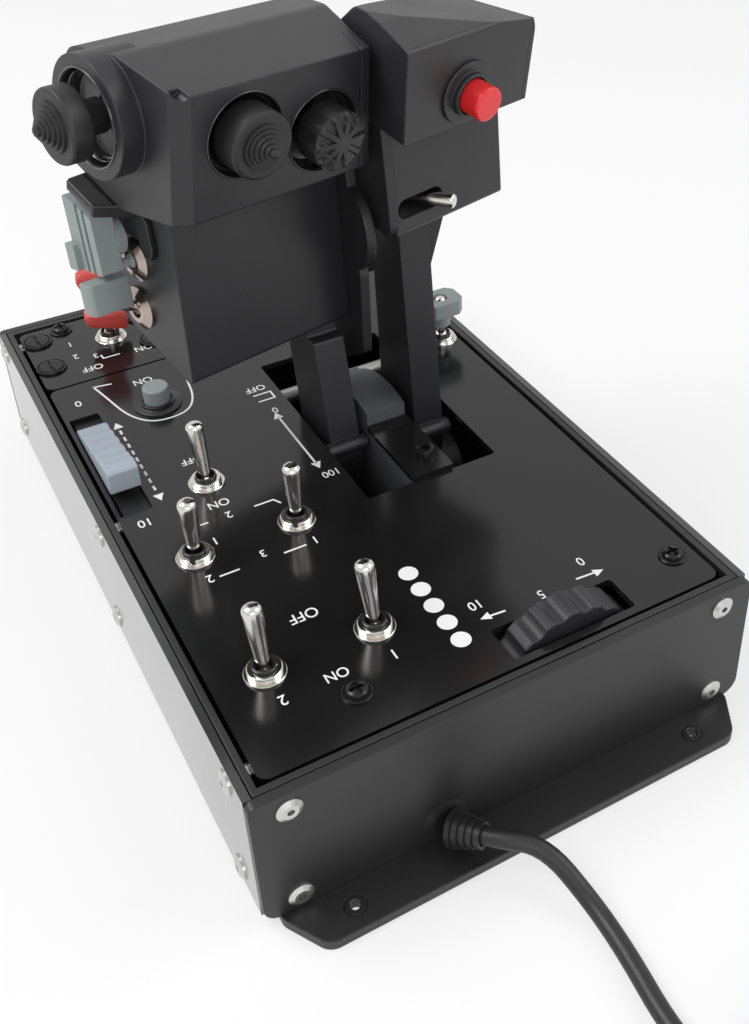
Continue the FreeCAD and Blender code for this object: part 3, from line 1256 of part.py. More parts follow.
def friction_wheel():
    """A thumb wheel with scallops round its rim, on an axle in a bracket."""
    wheel = new_body("friction_wheel")
    turn(wheel, [("axle_r + axle_gap", "-wheel_w/2", 0), ("wheel_r", "-wheel_w/2", 0.8),
                 ("wheel_r", "wheel_w/2", 0.8), ("axle_r + axle_gap", "wheel_w/2", 0)])
    scallop = new_sketch(wheel, "XY_Plane")
    circle(scallop, "wheel_r + scallop_r*0.62", 0, "scallop_r")
    cut = pocket(wheel, scallop)
    round_ = wheel.newObject("PartDesign::PolarPattern", "Scallops")
    round_.Originals = [cut]
    round_.Axis = (scallop, ["N_Axis"])
    round_.Angle = 360.0
    round_.Occurrences = 18
    wheel.Tip = round_
    high = "panel_top + wheel_rise - wheel_r"
    place(wheel, "slot_x", "wheel_y", high, FORWARD)
    ears = new_body("wheel_bracket", kept=False)
    drawn = new_sketch(ears, "XZ_Plane")
    outline(drawn, [("-9", FLOOR_TOP, 0), ("9", FLOOR_TOP, 0), ("6", high + " + 6", 5),
                    ("-6", high + " + 6", 5)])
    half = "(wheel_w/2 + wheel_clear/2)"
    pad(ears, drawn, "2*%s + 5" % half, both=True)
    gap = new_sketch(ears, "XZ_Plane")
    rectangle(gap, "-30", "30", FLOOR_TOP + " - 1", high + " + 30")
    cut = ears.newObject("PartDesign::Pocket", "Pocket")
    cut.Profile = gap
    cut.SideType = "Symmetric"
    cut.setExpression("Length", bound("2*" + half))
    holes(ears, "XZ_Plane", [(0, high)], "axle_r")
    place(ears, "slot_x", "wheel_y", 0)
    axle = doc.addObject("Part::Cylinder", "axle")
    axle.setExpression("Radius", bound("axle_r"))
    axle.setExpression("Height", bound("2*%s + 5" % half))
    place(axle, "slot_x", "wheel_y - %s - 2.5" % half, high, FORWARD)
    together("friction_axle", [ears, axle])


# -------------------------------------------------------------------- cable
def boot_stand(out=0):
    """Where the sleeve starts outside the wall, its Z along the cable."""
    aim = Rotation(Vector(0, 0, 1), size("boot_turn")).multiply(
        Rotation(Vector(1, 0, 0), -90 + size("boot_lift")))
    root = Vector(size("gland_x"), size("box_length/2") + 3.4, size("gland_z"))
    return Placement(root, aim).multiply(Placement(Vector(0, 0, out), Rotation()))


def cable_boot():
    """The strain relief: a gland in the wall and a ribbed, tapered sleeve."""
    sleeve = new_body("boot_sleeve", kept=False)
    bore = "cord_r + 0.2"
    ribs = [(bore, 0, 0)]
    for number in range(5):
        outer = "boot_r - (boot_r - boot_tip_r)*%.2f" % (number / 4)
        start = "boot_len*%.2f" % (number / 5)
        ribs += [(outer, start, 0), (outer, start + " + boot_len*0.14", 0)]
        if number < 4:
            ribs += [(outer + " - 0.7", start + " + boot_len*0.14", 0),
                     (outer + " - 0.7", start + " + boot_len*0.2", 0)]
    turn(sleeve, ribs + [(bore, "boot_len*0.94", 0)])
    sleeve.Placement = boot_stand()
    gland = new_body("gland", kept=False)
    turn(gland, [(0, "-7.5", 0), ("gland_r", "-7.5", 0), ("gland_r", 0, 0),
                 ("gland_r + 1.1", 0, 0), ("gland_r - 1.2", "0.5", 0), (0, "0.5", 0)])
    place(gland, "gland_x", "box_length/2", "gland_z", FORWARD)
    together("cable_boot", [gland, sleeve])


def cable_route():
    """Points of the cable that isn't coiled, from inside the boot on."""
    return [boot_stand(0.8).Base, boot_stand(size("boot_len") + 2.6).Base] + [
        Vector(*point) for point in (
            (6.4, 139.5, 11.2), (2.0, 154.5, 3.4), (2.3, 169.5, 2.6), (4.6, 187.5, 2.6),
            (2.6, 204.0, 2.6), (-4.5, 216.0, 3.6))]


def rounded_path(points):
    """Straight runs joined by tangent arcs, as large as the runs allow."""
    edges, radii, here = [], [], points[0]
    for before, corner, after in zip(points, points[1:], points[2:]):
        back, ahead = before - corner, after - corner
        short = min(back.Length, ahead.Length)
        back.normalize()
        ahead.normalize()
        turn_ = math.pi - back.getAngle(ahead)
        reach = 0.45 * short
        radius = reach / math.tan(turn_ / 2)
        start, stop = corner + back * reach, corner + ahead * reach
        middle = corner + (back + ahead).normalize() * (
            radius / math.cos(turn_ / 2) - radius)
        edges.append(Part.LineSegment(here, start).toShape())
        edges.append(Part.Arc(start, middle, stop).toShape())
        radii.append(round(radius, 1))
        here = stop
    edges.append(Part.LineSegment(here, points[-1]).toShape())
    print("cable radii", radii)
    return Part.Wire(edges)


def cable():
    path = rounded_path(cable_route())
    start = path.Edges[0].Vertexes[0].Point
    ahead = path.Edges[0].Vertexes[1].Point - start
    ring = Part.Wire(Part.Circle(start, ahead, size("cord_r")).toShape())
    tube = path.makePipeShell([ring], True, True)
    expected = math.pi * size("cord_r") ** 2 * path.Length
    print("cable length %.1f, volume ratio %.4f" % (path.Length, tube.Volume / expected))
    piece = doc.addObject("Part::Feature", "cable")
    piece.Shape = tube
    listed(piece, "cable")
    return path


def cable_coil(path):
    """The rest of the cable, wound in a flat coil on the floor."""
    end = path.Vertexes[-1].Point
    piece = new_body("cable_coil")
    r, tube = "coil_r", "coil_tube_r"
    turn(piece, [(r + " - " + tube, 0, 3), (r + " + " + tube, 0, 3),
                 (r + " + " + tube, "1.5*" + tube, 5), (r + " - " + tube, "1.5*" + tube, 5)])
    ahead = end - path.Edges[-1].Vertexes[0].Point
    ahead.normalize()
    reach = size("coil_r + coil_tube_r")
    piece.Placement = Placement(Vector(end.x - reach * 0.45, end.y + reach * 0.893 + 0.2, 0.1),
                                Rotation())
    plug = new_body("plug_shell", kept=False)
    base = new_sketch(plug, "XY_Plane", "0.2")
    rectangle(base, "-5.8", "5.8", "0", "19", 1.5)
    pad(plug, base, "7.4")
    tip = new_body("plug_tip", kept=False)
    base = new_sketch(tip, "XY_Plane", "1.6")
    rectangle(base, "-6", "6", "19", "31")
    pad(tip, base, "4.5")
    beside = piece.Placement.multiply(Placement(Vector(8, reach + 0.1, -0.1), Rotation()))
    for half in (plug, tip):
        half.Placement = beside
    together("usb_plug", [plug, tip])
# build the box
base_plate()
chassis_frame()
side_plate("side_plate_left", -1)
side_plate("side_plate_right", 1)
end_plate("front_plate", 1)
end_plate("rear_plate", -1)
rivets()
main_panel()
aux_panel()
panel_fasteners()
gate_tongue()
gate_guide()
pivot_shaft()
bearing_blocks()
circuit_board()
left_arm()
right_arm()
right_grip_head()
right_head_cap()
right_grip_body()
right_grip_side_plate()
left_grip_head()
left_head_cap()
left_grip_body()
left_grip_side_plate()
hats()
red_button()
pinky_toggle()
grip_switches()
toggle_housings()
toggle_nuts()
panel_toggles()
red_toggle_cap()
flap_cap()
push_button()
slider()
friction_wheel()
cable_boot()
ROUTE = cable()
cable_coil(ROUTE)


# ------------------------------------------------------------- check, write
def report_faults():
    faults = [o.Label for o in doc.Objects
              if "Invalid" in o.State or "Error" in o.State]
    for piece in PARTS:
        if piece.Shape.isNull() or not piece.Shape.isValid():
            faults.append("shape of " + piece.Label)
    return faults


doc.recompute()
FAULTS = report_faults()
if FAULTS:
    raise RuntimeError("faulty: " + ", ".join(FAULTS))

os.makedirs("parts", exist_ok=True)
for piece in PARTS:
    piece.Shape.exportStep("parts/%s.step" % piece.Label)
print("%d sub-parts, %d solids" % (len(PARTS), sum(len(p.Shape.Solids) for p in PARTS)))
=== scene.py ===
import json
import math

import bmesh
import bpy
import numpy as np
from mathutils import Matrix, Vector


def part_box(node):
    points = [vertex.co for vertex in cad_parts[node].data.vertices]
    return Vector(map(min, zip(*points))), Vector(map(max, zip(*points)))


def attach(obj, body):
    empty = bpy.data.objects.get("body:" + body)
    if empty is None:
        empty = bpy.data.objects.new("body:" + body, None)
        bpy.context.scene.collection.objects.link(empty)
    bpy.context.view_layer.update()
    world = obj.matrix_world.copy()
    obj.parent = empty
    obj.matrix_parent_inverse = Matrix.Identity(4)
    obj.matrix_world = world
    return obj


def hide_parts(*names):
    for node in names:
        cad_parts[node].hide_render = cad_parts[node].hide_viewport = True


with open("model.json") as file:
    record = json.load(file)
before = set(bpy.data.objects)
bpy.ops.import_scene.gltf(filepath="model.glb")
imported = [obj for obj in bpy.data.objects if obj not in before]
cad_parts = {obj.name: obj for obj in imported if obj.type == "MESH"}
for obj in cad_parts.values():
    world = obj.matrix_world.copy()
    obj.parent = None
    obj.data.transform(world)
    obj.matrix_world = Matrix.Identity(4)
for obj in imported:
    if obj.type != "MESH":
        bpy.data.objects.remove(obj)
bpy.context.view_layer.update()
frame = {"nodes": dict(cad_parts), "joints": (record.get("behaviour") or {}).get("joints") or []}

# Looks of a two-lever throttle quadrant.  Lengths are written in millimetres
# and multiplied by MM; X is the pilot's right, Y forward, Z up.
MM = 0.001
nodes = frame["nodes"]
JOINTS = {joint["name"]: joint for joint in frame["joints"]}
PANEL_LOW, PANEL_HIGH = (np.array(corner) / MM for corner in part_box("main_panel"))
TOP = PANEL_HIGH[2]

# ------------------------------------------------------------------- camera
SENSOR, LENS = 36, 43.36172
SHIFT_X, SHIFT_Y = -0.087988, -0.117285
NEAR, FAR = 0.01, 20
EYE = (116.5, 294.2, 276.6)
HEADING, DIP, ROLL = 209.85, 34.34, -0.69


def aim(heading, dip, roll):
    """Right, up and back vectors of a camera that looks along a heading
    (clockwise from +Y), dipped below level, then rolled."""
    a, e, r = (math.radians(v) for v in (heading, dip, roll))
    ahead = Vector((math.sin(a) * math.cos(e), math.cos(a) * math.cos(e), -math.sin(e)))
    right = Vector((math.cos(a), -math.sin(a), 0))
    up = right.cross(ahead)
    right, up = (math.cos(r) * right + math.sin(r) * up,
                 math.cos(r) * up - math.sin(r) * right)
    return right, up, -ahead


def place_camera():
    data = bpy.data.cameras.new("camera")
    data.sensor_width, data.lens = SENSOR, LENS
    data.shift_x, data.shift_y = SHIFT_X, SHIFT_Y
    data.clip_start, data.clip_end = NEAR, FAR
    camera = bpy.data.objects.new("camera", data)
    right, up, back = aim(HEADING, DIP, ROLL)
    turned = Matrix((right, up, back)).transposed().to_4x4()
    camera.matrix_world = Matrix.Translation(Vector(EYE) * MM) @ turned
    bpy.context.scene.collection.objects.link(camera)
    bpy.context.scene.camera = camera


place_camera()

# -------------------------------------------------------------------- cable
CORD_D = 5.0
LEAD = [(22.55, 123.04, 9.57), (16.21, 132.10, 11.92), (6.4, 139.5, 11.2),
        (2.0, 154.5, 3.4), (2.3, 169.5, 2.6), (4.6, 187.5, 2.6), (3.4, 203.0, 2.6)]
COIL_X, COIL_Y = -25.0, 242.4
COIL_OUT = 40.4
PITCH = 5.12
TURNS = 4.98
PER_TURN = 16
START_ANGLE, END_ANGLE = -38.0, 61.0
CLIMB_TURNS, CLIMB_RISE = 0.6, 0.55
FEWER_ON_TOP = 0.12
LOOSENESS = 1.012
PLUG_X, PLUG_Y, PLUG_Z = -13.15, 286.3, 5.0


def coil_points():
    """A flat spiral inward on the floor, half a level turn that climbs, then
    a spiral outward on top of it: radius falls, then grows, by one pitch a
    turn."""
    low, high = CORD_D / 2 + 0.1, CORD_D * 1.5 + 0.25
    inner = COIL_OUT - PITCH * TURNS
    step = 1 / PER_TURN
    sweep = (END_ANGLE - START_ANGLE) / 360
    whole = math.floor(TURNS + CLIMB_TURNS + (TURNS - FEWER_ON_TOP) - sweep)
    out_turns = whole + sweep - TURNS - CLIMB_TURNS
    down = np.arange(0, TURNS, step)
    climb = np.arange(0, CLIMB_TURNS, step)
    up = np.arange(0, math.ceil(TURNS) + 6, step)
    up = up[up <= out_turns]
    angle = np.concatenate([down, TURNS + climb, TURNS + CLIMB_TURNS + up])
    radius = np.concatenate([COIL_OUT - PITCH * down, np.full(len(climb), inner),
                             inner + (COIL_OUT - inner) * up / out_turns])
    height = np.concatenate([np.full(len(down), low),
                             low + (high - low) * np.clip(climb / CLIMB_RISE, 0, 1),
                             np.full(len(up), high)])
    phi = np.radians(START_ANGLE) + 2 * np.pi * angle
    wide = radius * LOOSENESS
    return np.stack([COIL_X + wide * np.cos(phi), COIL_Y + wide * np.sin(phi), height], 1)


def lay_cable():
    """The cable's own smooth line: lead, coil and the end in its plug."""
    line = LEAD + [tuple(p) for p in coil_points()]
    line += [(PLUG_X + 2.6, PLUG_Y - 5.6, 7.2), (PLUG_X, PLUG_Y - 1.0, 5.6),
             (PLUG_X, PLUG_Y + 4.0, PLUG_Z)]
    data = bpy.data.curves.new("usb_cable", "CURVE")
    data.dimensions = "3D"
    spline = data.splines.new("NURBS")
    spline.points.add(len(line) - 1)
    for point, place in zip(spline.points, line):
        point.co = (place[0] * MM, place[1] * MM, place[2] * MM, 1)
        point.radius = CORD_D / 2 * MM
    spline.order_u = 3
    spline.use_endpoint_u = True
    spline.resolution_u = 6
    data.bevel_depth = 1.0
    data.bevel_resolution = 5
    data.use_fill_caps = True
    cable = bpy.data.objects.new("usb_cable", data)
    bpy.context.scene.collection.objects.link(cable)
    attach(cable, "chassis")
    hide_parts("cable", "cable_coil")
    return cable


usb_cable = lay_cable()


# ---------------------------------------------------------- shader plumbing
def add_node(tree, kind, settings=None, inputs=None):
    """A node of a kind, with its settings, then its sockets' values or links."""
    made = tree.nodes.new(kind)
    for key, value in (settings or {}).items():
        setattr(made, key, value)
    for key, value in (inputs or {}).items():
        if isinstance(value, Value):
            value = value.socket
        if isinstance(value, bpy.types.NodeSocket):
            tree.links.new(value, made.inputs[key])
        else:
            made.inputs[key].default_value = value
    return made


class Value:
    """A socket that takes part in sums: each operator adds one Math node."""

    def __init__(self, finish, socket):
        self.finish, self.socket = finish, socket

    def math(self, operation, *others, clamp=False):
        inputs = dict(enumerate((self,) + others))
        made = self.finish.node("ShaderNodeMath",
                                {"operation": operation, "use_clamp": clamp}, inputs)
        return Value(self.finish, made.outputs[0])

    def flipped(self, operation, other):
        made = self.finish.node("ShaderNodeMath", {"operation": operation}, {0: other, 1: self})
        return Value(self.finish, made.outputs[0])

    def __add__(self, other):
        return self.math("ADD", other)

    def __sub__(self, other):
        return self.math("SUBTRACT", other)

    def __mul__(self, other):
        return self.math("MULTIPLY", other)

    def __truediv__(self, other):
        return self.math("DIVIDE", other)

    def __radd__(self, other):
        return self.flipped("ADD", other)

    def __rsub__(self, other):
        return self.flipped("SUBTRACT", other)

    def __rmul__(self, other):
        return self.flipped("MULTIPLY", other)

    def above(self, edge, soft):
        """0 below the edge, 1 above it, over a soft width."""
        return ((self - edge) * (1 / soft) + 0.5).math("MAXIMUM", 0).math("MINIMUM", 1)


class Finish:
    """One material; its methods add nodes and feed the surface shader."""

    def __init__(self, name, colour, rough, metal=0.0, coat=0.0):
        self.material = bpy.data.materials.new(name)
        self.material.use_nodes = True
        self.tree = self.material.node_tree
        self.shader = next(n for n in self.tree.nodes if n.type == "BSDF_PRINCIPLED")
        self.shader.inputs["Base Color"].default_value = (*colour, 1)
        self.shader.inputs["Roughness"].default_value = rough
        self.shader.inputs["Metallic"].default_value = metal
        self.shader.inputs["Coat Weight"].default_value = coat
        self.shader.inputs["Coat Roughness"].default_value = 0.1
        self.place = self.node("ShaderNodeTexCoord").outputs["Object"]

    def node(self, kind, settings=None, inputs=None):
        return add_node(self.tree, kind, settings, inputs)

    def noise(self, size, detail=2.0, stretch=None):
        """Soft random values whose grain is about a size in millimetres."""
        where = self.place
        if stretch:
            where = self.node("ShaderNodeMapping", None, {"Vector": where, "Scale": stretch})
            where = where.outputs[0]
        made = self.node("ShaderNodeTexNoise", None, {
            "Vector": where, "Scale": 1 / (size * MM), "Detail": detail})
        return Value(self, made.outputs["Fac"])

    def along(self, direction):
        """Distance along a direction, in millimetres."""
        made = self.node("ShaderNodeVectorMath", {"operation": "DOT_PRODUCT"}, {
            0: self.place, 1: tuple(v / MM for v in direction)})
        return Value(self, made.outputs["Value"])

    def blend(self, mask, low, high):
        """A colour between two, by a mask."""
        made = self.node("ShaderNodeMix", {"data_type": "RGBA"}, {
            0: mask, 6: (*low, 1), 7: (*high, 1)})
        return made.outputs[2]

    def feed(self, socket, value):
        if isinstance(value, Value):
            value = value.socket
        self.tree.links.new(value, self.shader.inputs[socket])

    def bump(self, height, depth, strength=1.0, soft=0.0):
        """Relief whose full height is a depth in millimetres, over edges that
        a soft radius rounds."""
        inputs = {"Height": height, "Distance": depth * MM, "Strength": strength}
        if soft:
            round_edge = self.node("ShaderNodeBevel", {"samples": 6}, {"Radius": soft * MM})
            inputs["Normal"] = round_edge.outputs[0]
        made = self.node("ShaderNodeBump", None, inputs)
        self.feed("Normal", made.outputs[0])


DRIFT, CLOUD = 28, 3.0              # sizes of the slow changes on paint and plating
MASK_SOFT = 0.4
BARE_METAL, BARE_ROUGH = (0.72, 0.70, 0.66), 0.16


def speckled(name, colour, rough, grain, depth, metal=0.0, coat=0.0, uneven=0.08, tint=1.25,
             soft=0.0):
    """A moulded or painted skin: fine grain, and a slow drift in its gloss
    and shade, as handling leaves."""
    skin = Finish(name, colour, rough, metal, coat)
    fine, slow = skin.noise(grain), skin.noise(DRIFT)
    lighter = tuple(min(1, c * tint) for c in colour)
    skin.feed("Base Color", skin.blend(slow * 0.6 + fine * 0.4, colour, lighter))
    skin.feed("Roughness", (slow - 0.5) * (2 * uneven) + (fine - 0.5) * uneven + rough)
    skin.bump(fine, depth, soft=soft)
    return skin


def plated(name, colour, rough, streak=0.6):
    """Bright plating: faint turning marks and a slow cloudiness."""
    skin = Finish(name, colour, rough, 1.0)
    rings = skin.noise(streak, stretch=(1, 1, 6))
    cloud = skin.noise(CLOUD)
    skin.feed("Roughness", rings * 0.10 + cloud * 0.10 + (rough - 0.07))
    skin.feed("Base Color", skin.blend(cloud, tuple(c * 0.88 for c in colour), colour))
    skin.bump(rings, 0.01, 0.6)
    return skin


def part_plated(name, colour, rough, grain, depth, direction, edge):
    """A moulding whose end, beyond an edge along a direction, is bare metal."""
    skin = speckled(name, colour, rough, grain, depth)
    mask = skin.along(direction).above(edge, MASK_SOFT)
    skin.feed("Base Color", skin.blend(mask, colour, BARE_METAL))
    skin.feed("Metallic", mask)
    skin.feed("Roughness", mask * (BARE_ROUGH - rough) + rough)
    return skin


PLUG_METAL_Y = 305.0
FINISHES = {
    "box_paint": speckled("box_paint", (0.015, 0.015, 0.016), 0.40, 0.35, 0.035, soft=0.6),
    "side_paint": speckled("side_paint", (0.020, 0.020, 0.021), 0.34, 0.35, 0.02, coat=1.0),
    "panel_lacquer": speckled("panel_lacquer", (0.0075, 0.0075, 0.008), 0.16, 0.8, 0.002,
                              uneven=0.03),
    "gloss_black": speckled("gloss_black", (0.010, 0.010, 0.011), 0.22, 0.5, 0.004, coat=0.6),
    "bronze": plated("bronze", (0.46, 0.38, 0.34), 0.12),
    "plug_shell": part_plated("plug_shell", (0.012, 0.012, 0.013), 0.42, 0.4, 0.03,
                              (0, 1, 0), PLUG_METAL_Y),
    "collar_black": speckled("collar_black", (0.012, 0.012, 0.012), 0.36, 0.4, 0.01),
    "hood_black": speckled("hood_black", (0.009, 0.009, 0.010), 0.36, 0.4, 0.03),
    "grip_moulding": speckled("grip_moulding", (0.016, 0.016, 0.018), 0.42, 0.45, 0.045,
                              soft=0.8),
    "hat_rubber": speckled("hat_rubber", (0.013, 0.013, 0.014), 0.48, 0.3, 0.03),
    "lever_paint": speckled("lever_paint", (0.013, 0.013, 0.015), 0.45, 0.5, 0.04, soft=0.6),
    "ridge_grit": speckled("ridge_grit", (0.040, 0.041, 0.044), 0.66, 0.8, 0.30, tint=2.6),
    "fastener_black": speckled("fastener_black", (0.014, 0.014, 0.014), 0.24, 0.6, 0.01,
                               metal=0.5),
    "grey_moulding": speckled("grey_moulding", (0.235, 0.270, 0.268), 0.50, 0.4, 0.03,
                              tint=1.12),
    "slider_moulding": speckled("slider_moulding", (0.330, 0.375, 0.430), 0.45, 0.5, 0.02,
                                tint=1.12),
    "button_red": speckled("button_red", (0.72, 0.016, 0.018), 0.36, 0.6, 0.015, coat=0.2,
                           tint=1.12),
    "saddle_red": speckled("saddle_red", (0.56, 0.060, 0.050), 0.46, 0.5, 0.02, tint=1.15),
    "cable_rubber": speckled("cable_rubber", (0.012, 0.012, 0.012), 0.42, 0.6, 0.03),
    "plug_plastic": speckled("plug_plastic", (0.014, 0.014, 0.014), 0.38, 0.5, 0.02),
    "circuit_green": speckled("circuit_green", (0.010, 0.085, 0.030), 0.35, 0.8, 0.02),
    "nickel": plated("nickel", (0.76, 0.73, 0.68), 0.13),
    "rivet_steel": plated("rivet_steel", (0.66, 0.66, 0.65), 0.30, 0.3),
    "zinc": plated("zinc", (0.42, 0.42, 0.41), 0.42),
    "marking_white": speckled("marking_white", (0.80, 0.80, 0.80), 0.5, 0.4, 0.01, tint=1.05),
}

WEARS = {
    "box_paint": ["base_plate", "chassis_frame", "front_plate", "rear_plate"],
    "side_paint": ["side_plate_left", "side_plate_right"],
    "panel_lacquer": ["main_panel", "aux_panel", "gate_tongue"],
    "fastener_black": ["panel_fasteners", "push_button_ring"],
    "rivet_steel": ["rivets"],
    "ridge_grit": ["gate_guide"],
    "zinc": ["pivot_shaft", "bearing_blocks", "friction_axle",
             "slew_gimbal", "star_gimbal", "mic_gimbal"],
    "gloss_black": ["hat_bases"],
    "bronze": ["grip_switch_nuts"],
    "circuit_green": ["circuit_board"],
    "lever_paint": ["left_arm", "right_arm"],
    "grip_moulding": ["right_grip_head", "right_head_cap", "right_grip_body",
                      "right_grip_side_plate", "left_grip_head", "left_head_cap",
                      "left_grip_body", "left_grip_side_plate", "switch_shroud",
                      "friction_wheel", "red_button_bezel"],
    "hat_rubber": ["slew_hat", "star_hat", "mic_hat"],
    "nickel": ["toggle_nuts", "apu_toggle", "eng_toggle_right",
               "eng_toggle_left", "fuel_toggle_right", "fuel_toggle_left", "red_toggle",
               "flap_toggle", "pinky_toggle"],
    "grey_moulding": ["upper_grey_switch", "lower_grey_switch", "flap_cap", "push_button"],
    "slider_moulding": ["slider_knob"],
    "button_red": ["red_button"],
    "saddle_red": ["red_toggle_cap"],
    "plug_plastic": ["toggle_housings", "cable_boot", "slider_track"],
    "plug_shell": ["usb_plug"],
    "cable_rubber": ["cable", "cable_coil"],
}


def dress(piece, finish):
    """Put a finish on every material slot of a piece."""
    material = finish.material
    if not piece.data.materials:
        piece.data.materials.append(material)
    for number in range(len(piece.data.materials)):
        piece.data.materials[number] = material


for finish_name, names in WEARS.items():
    for node_name in names:
        dress(nodes[node_name], FINISHES[finish_name])
dress(usb_cable, FINISHES["cable_rubber"])


# ------------------------------------------------------------- shape makers
def spun(profile, segments=48):
    """A profile of (radius, height) rows turned about Z: each row becomes a
    ring of equal steps round the axis."""
    rows = np.array(profile, float)
    angle = np.linspace(0, 2 * np.pi, segments, endpoint=False)
    ring = np.stack([np.cos(angle), np.sin(angle), np.ones(segments)], 1)
    points = np.stack([rows[:, :1], rows[:, :1], rows[:, 1:]], 2) * ring[None]
    return grid_faces(points)


def grid_faces(points):
    """Corners and faces of a grid of points; each row closes on itself."""
    rows, columns = points.shape[:2]
    index = np.arange(rows * columns).reshape(rows, columns)
    beside = np.roll(index, -1, 1)
    faces = np.stack([index[:-1], beside[:-1], beside[1:], index[1:]], 2)
    return points.reshape(-1, 3), faces.reshape(-1, 4).tolist()


def slab(outline, low, high):
    """A flat outline of (x, y) corners, anticlockwise, raised from low to
    high: two caps and a wall."""
    flat = np.array(outline, float)
    count = len(flat)
    points = np.concatenate([np.column_stack([flat, np.full(count, z)]) for z in (low, high)])
    ahead = np.roll(np.arange(count), -1)
    walls = [(a, b, b + count, a + count) for a, b in zip(range(count), ahead.tolist())]
    caps = [tuple(reversed(range(count))), tuple(range(count, 2 * count))]
    return points, caps + walls


def moved(part, matrix):
    """A part's points put through a placement whose shift is in millimetres."""
    points, faces = part
    turned = points @ np.array(matrix.to_3x3()).T + np.array(matrix.translation)
    return turned, faces


def piece(name, parts, body, finish, slot=None, stands_for=(), sharp=38, bevel=0):
    """One named piece from several parts, in place, riding on its body."""
    corners, faces, start = [], [], 0
    for points, sides in parts:
        corners.append(points)
        faces += [tuple(v + start for v in side) for side in sides]
        start += len(points)
    mesh = bpy.data.meshes.new(name)
    mesh.from_pydata((np.concatenate(corners) * MM).tolist(), [], faces)
    work = bmesh.new()
    work.from_mesh(mesh)
    bmesh.ops.remove_doubles(work, verts=work.verts, dist=2e-6)
    bmesh.ops.recalc_face_normals(work, faces=work.faces)
    work.to_mesh(mesh)
    work.free()
    mesh.polygons.foreach_set("use_smooth", [True] * len(mesh.polygons))
    mesh.set_sharp_from_angle(angle=math.radians(sharp))
    made = bpy.data.objects.new(name, mesh)
    bpy.context.scene.collection.objects.link(made)
    if bevel:
        rounding = made.modifiers.new("rounding", "BEVEL")
        rounding.width, rounding.segments = bevel * MM, 2
        rounding.limit_method, rounding.angle_limit = "ANGLE", math.radians(40)
        rounding.harden_normals = True
    dress(made, FINISHES[finish])
    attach(made, body)
    if stands_for:
        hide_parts(*stands_for)
    return made


def at(x, y, z, turn=None):
    """A placement in millimetres, after a turn about the origin."""
    return Matrix.Translation((x, y, z)) @ (turn or Matrix())


# takes a flat outline's (x, y) to (y, z) and its height to x
STAND_UP = Matrix(((0, 0, 1, 0), (1, 0, 0, 0), (0, 1, 0, 0), (0, 0, 0, 1)))


def pivot(joint):
    return tuple(v / MM for v in JOINTS[joint]["pos_m"])


# ----------------------------------------------------------- toggle switches
BAT_LENGTH, BAT_ROOT, BAT_TIP, BAT_DOME = 19.4, 1.7, 2.75, 2.0
TOGGLE_THROW = 13.0
TOGGLES = {"apu_toggle": TOGGLE_THROW, "eng_toggle_right": 0, "eng_toggle_left": 0,
           "fuel_toggle_right": TOGGLE_THROW, "fuel_toggle_left": TOGGLE_THROW}


def bat_profile():
    """Ball, neck, then a radius that grows with the 0.8 power of the height
    up to a flattened dome."""
    ball = np.radians(np.linspace(-90, 40, 9))
    rows = [(2.25 * math.cos(a), 2.25 * math.sin(a)) for a in ball]
    rise = np.linspace(0, 1, 14)
    rows += list(zip(BAT_ROOT + (BAT_TIP - BAT_ROOT) * rise ** 0.8,
                     1.7 + (BAT_LENGTH - BAT_DOME - 1.7) * rise))
    dome = np.radians(np.linspace(8, 90, 10))
    rows += [(BAT_TIP * math.cos(a) ** 0.75 if a < 1.57 else 0,
              BAT_LENGTH - BAT_DOME + BAT_DOME * math.sin(a)) for a in dome]
    rows[0], rows[-1] = (0, rows[0][1]), (0, rows[-1][1])
    return rows


def toggle_bats():
    for name, lean in TOGGLES.items():
        turn = Matrix.Rotation(math.radians(lean), 4, "X")
        part = moved(spun(bat_profile(), 40), at(*pivot(name + "_tilt"), turn))
        piece(name + "_bat", [part], name, "nickel", "nickel", [name])


def nut_ring(notch):
    """Washer and threaded ring, turned from rows of a profile; the upper
    rows drop into a notch over a narrow angle, if there is one."""
    rows = [(0, 0.25), (3.2, 0.25), (3.2, 2.0), (3.35, 2.2), (4.35, 2.2), (4.6, 2.0),
            (4.6, 1.75), (4.45, 1.62), (4.6, 1.5), (4.6, 1.25), (4.45, 1.12), (4.6, 1.0),
            (4.6, 0.55), (5.4, 0.55), (5.55, 0.42), (5.55, 0.02), (0, 0.02)]
    points, faces = spun(rows, 64)
    if notch is not None:
        angle = np.degrees(np.arctan2(points[:, 1], points[:, 0]))
        away = np.abs((angle - notch + 180) % 360 - 180)
        cut = (away < 9) & (points[:, 2] > 0.9) & (np.hypot(points[:, 0], points[:, 1]) > 3)
        points[cut, 2] = 0.9
    return points, faces


def toggle_rings():
    parts = []
    for name in list(TOGGLES) + ["red_toggle", "flap_toggle"]:
        x, y = pivot(name + "_tilt")[:2]
        notch = 62 if name.startswith("eng") else None
        parts.append(moved(nut_ring(notch), at(x, y, TOP)))
    piece("toggle_rings", parts, "chassis", "nickel", "nickel", ["toggle_nuts"], sharp=30)


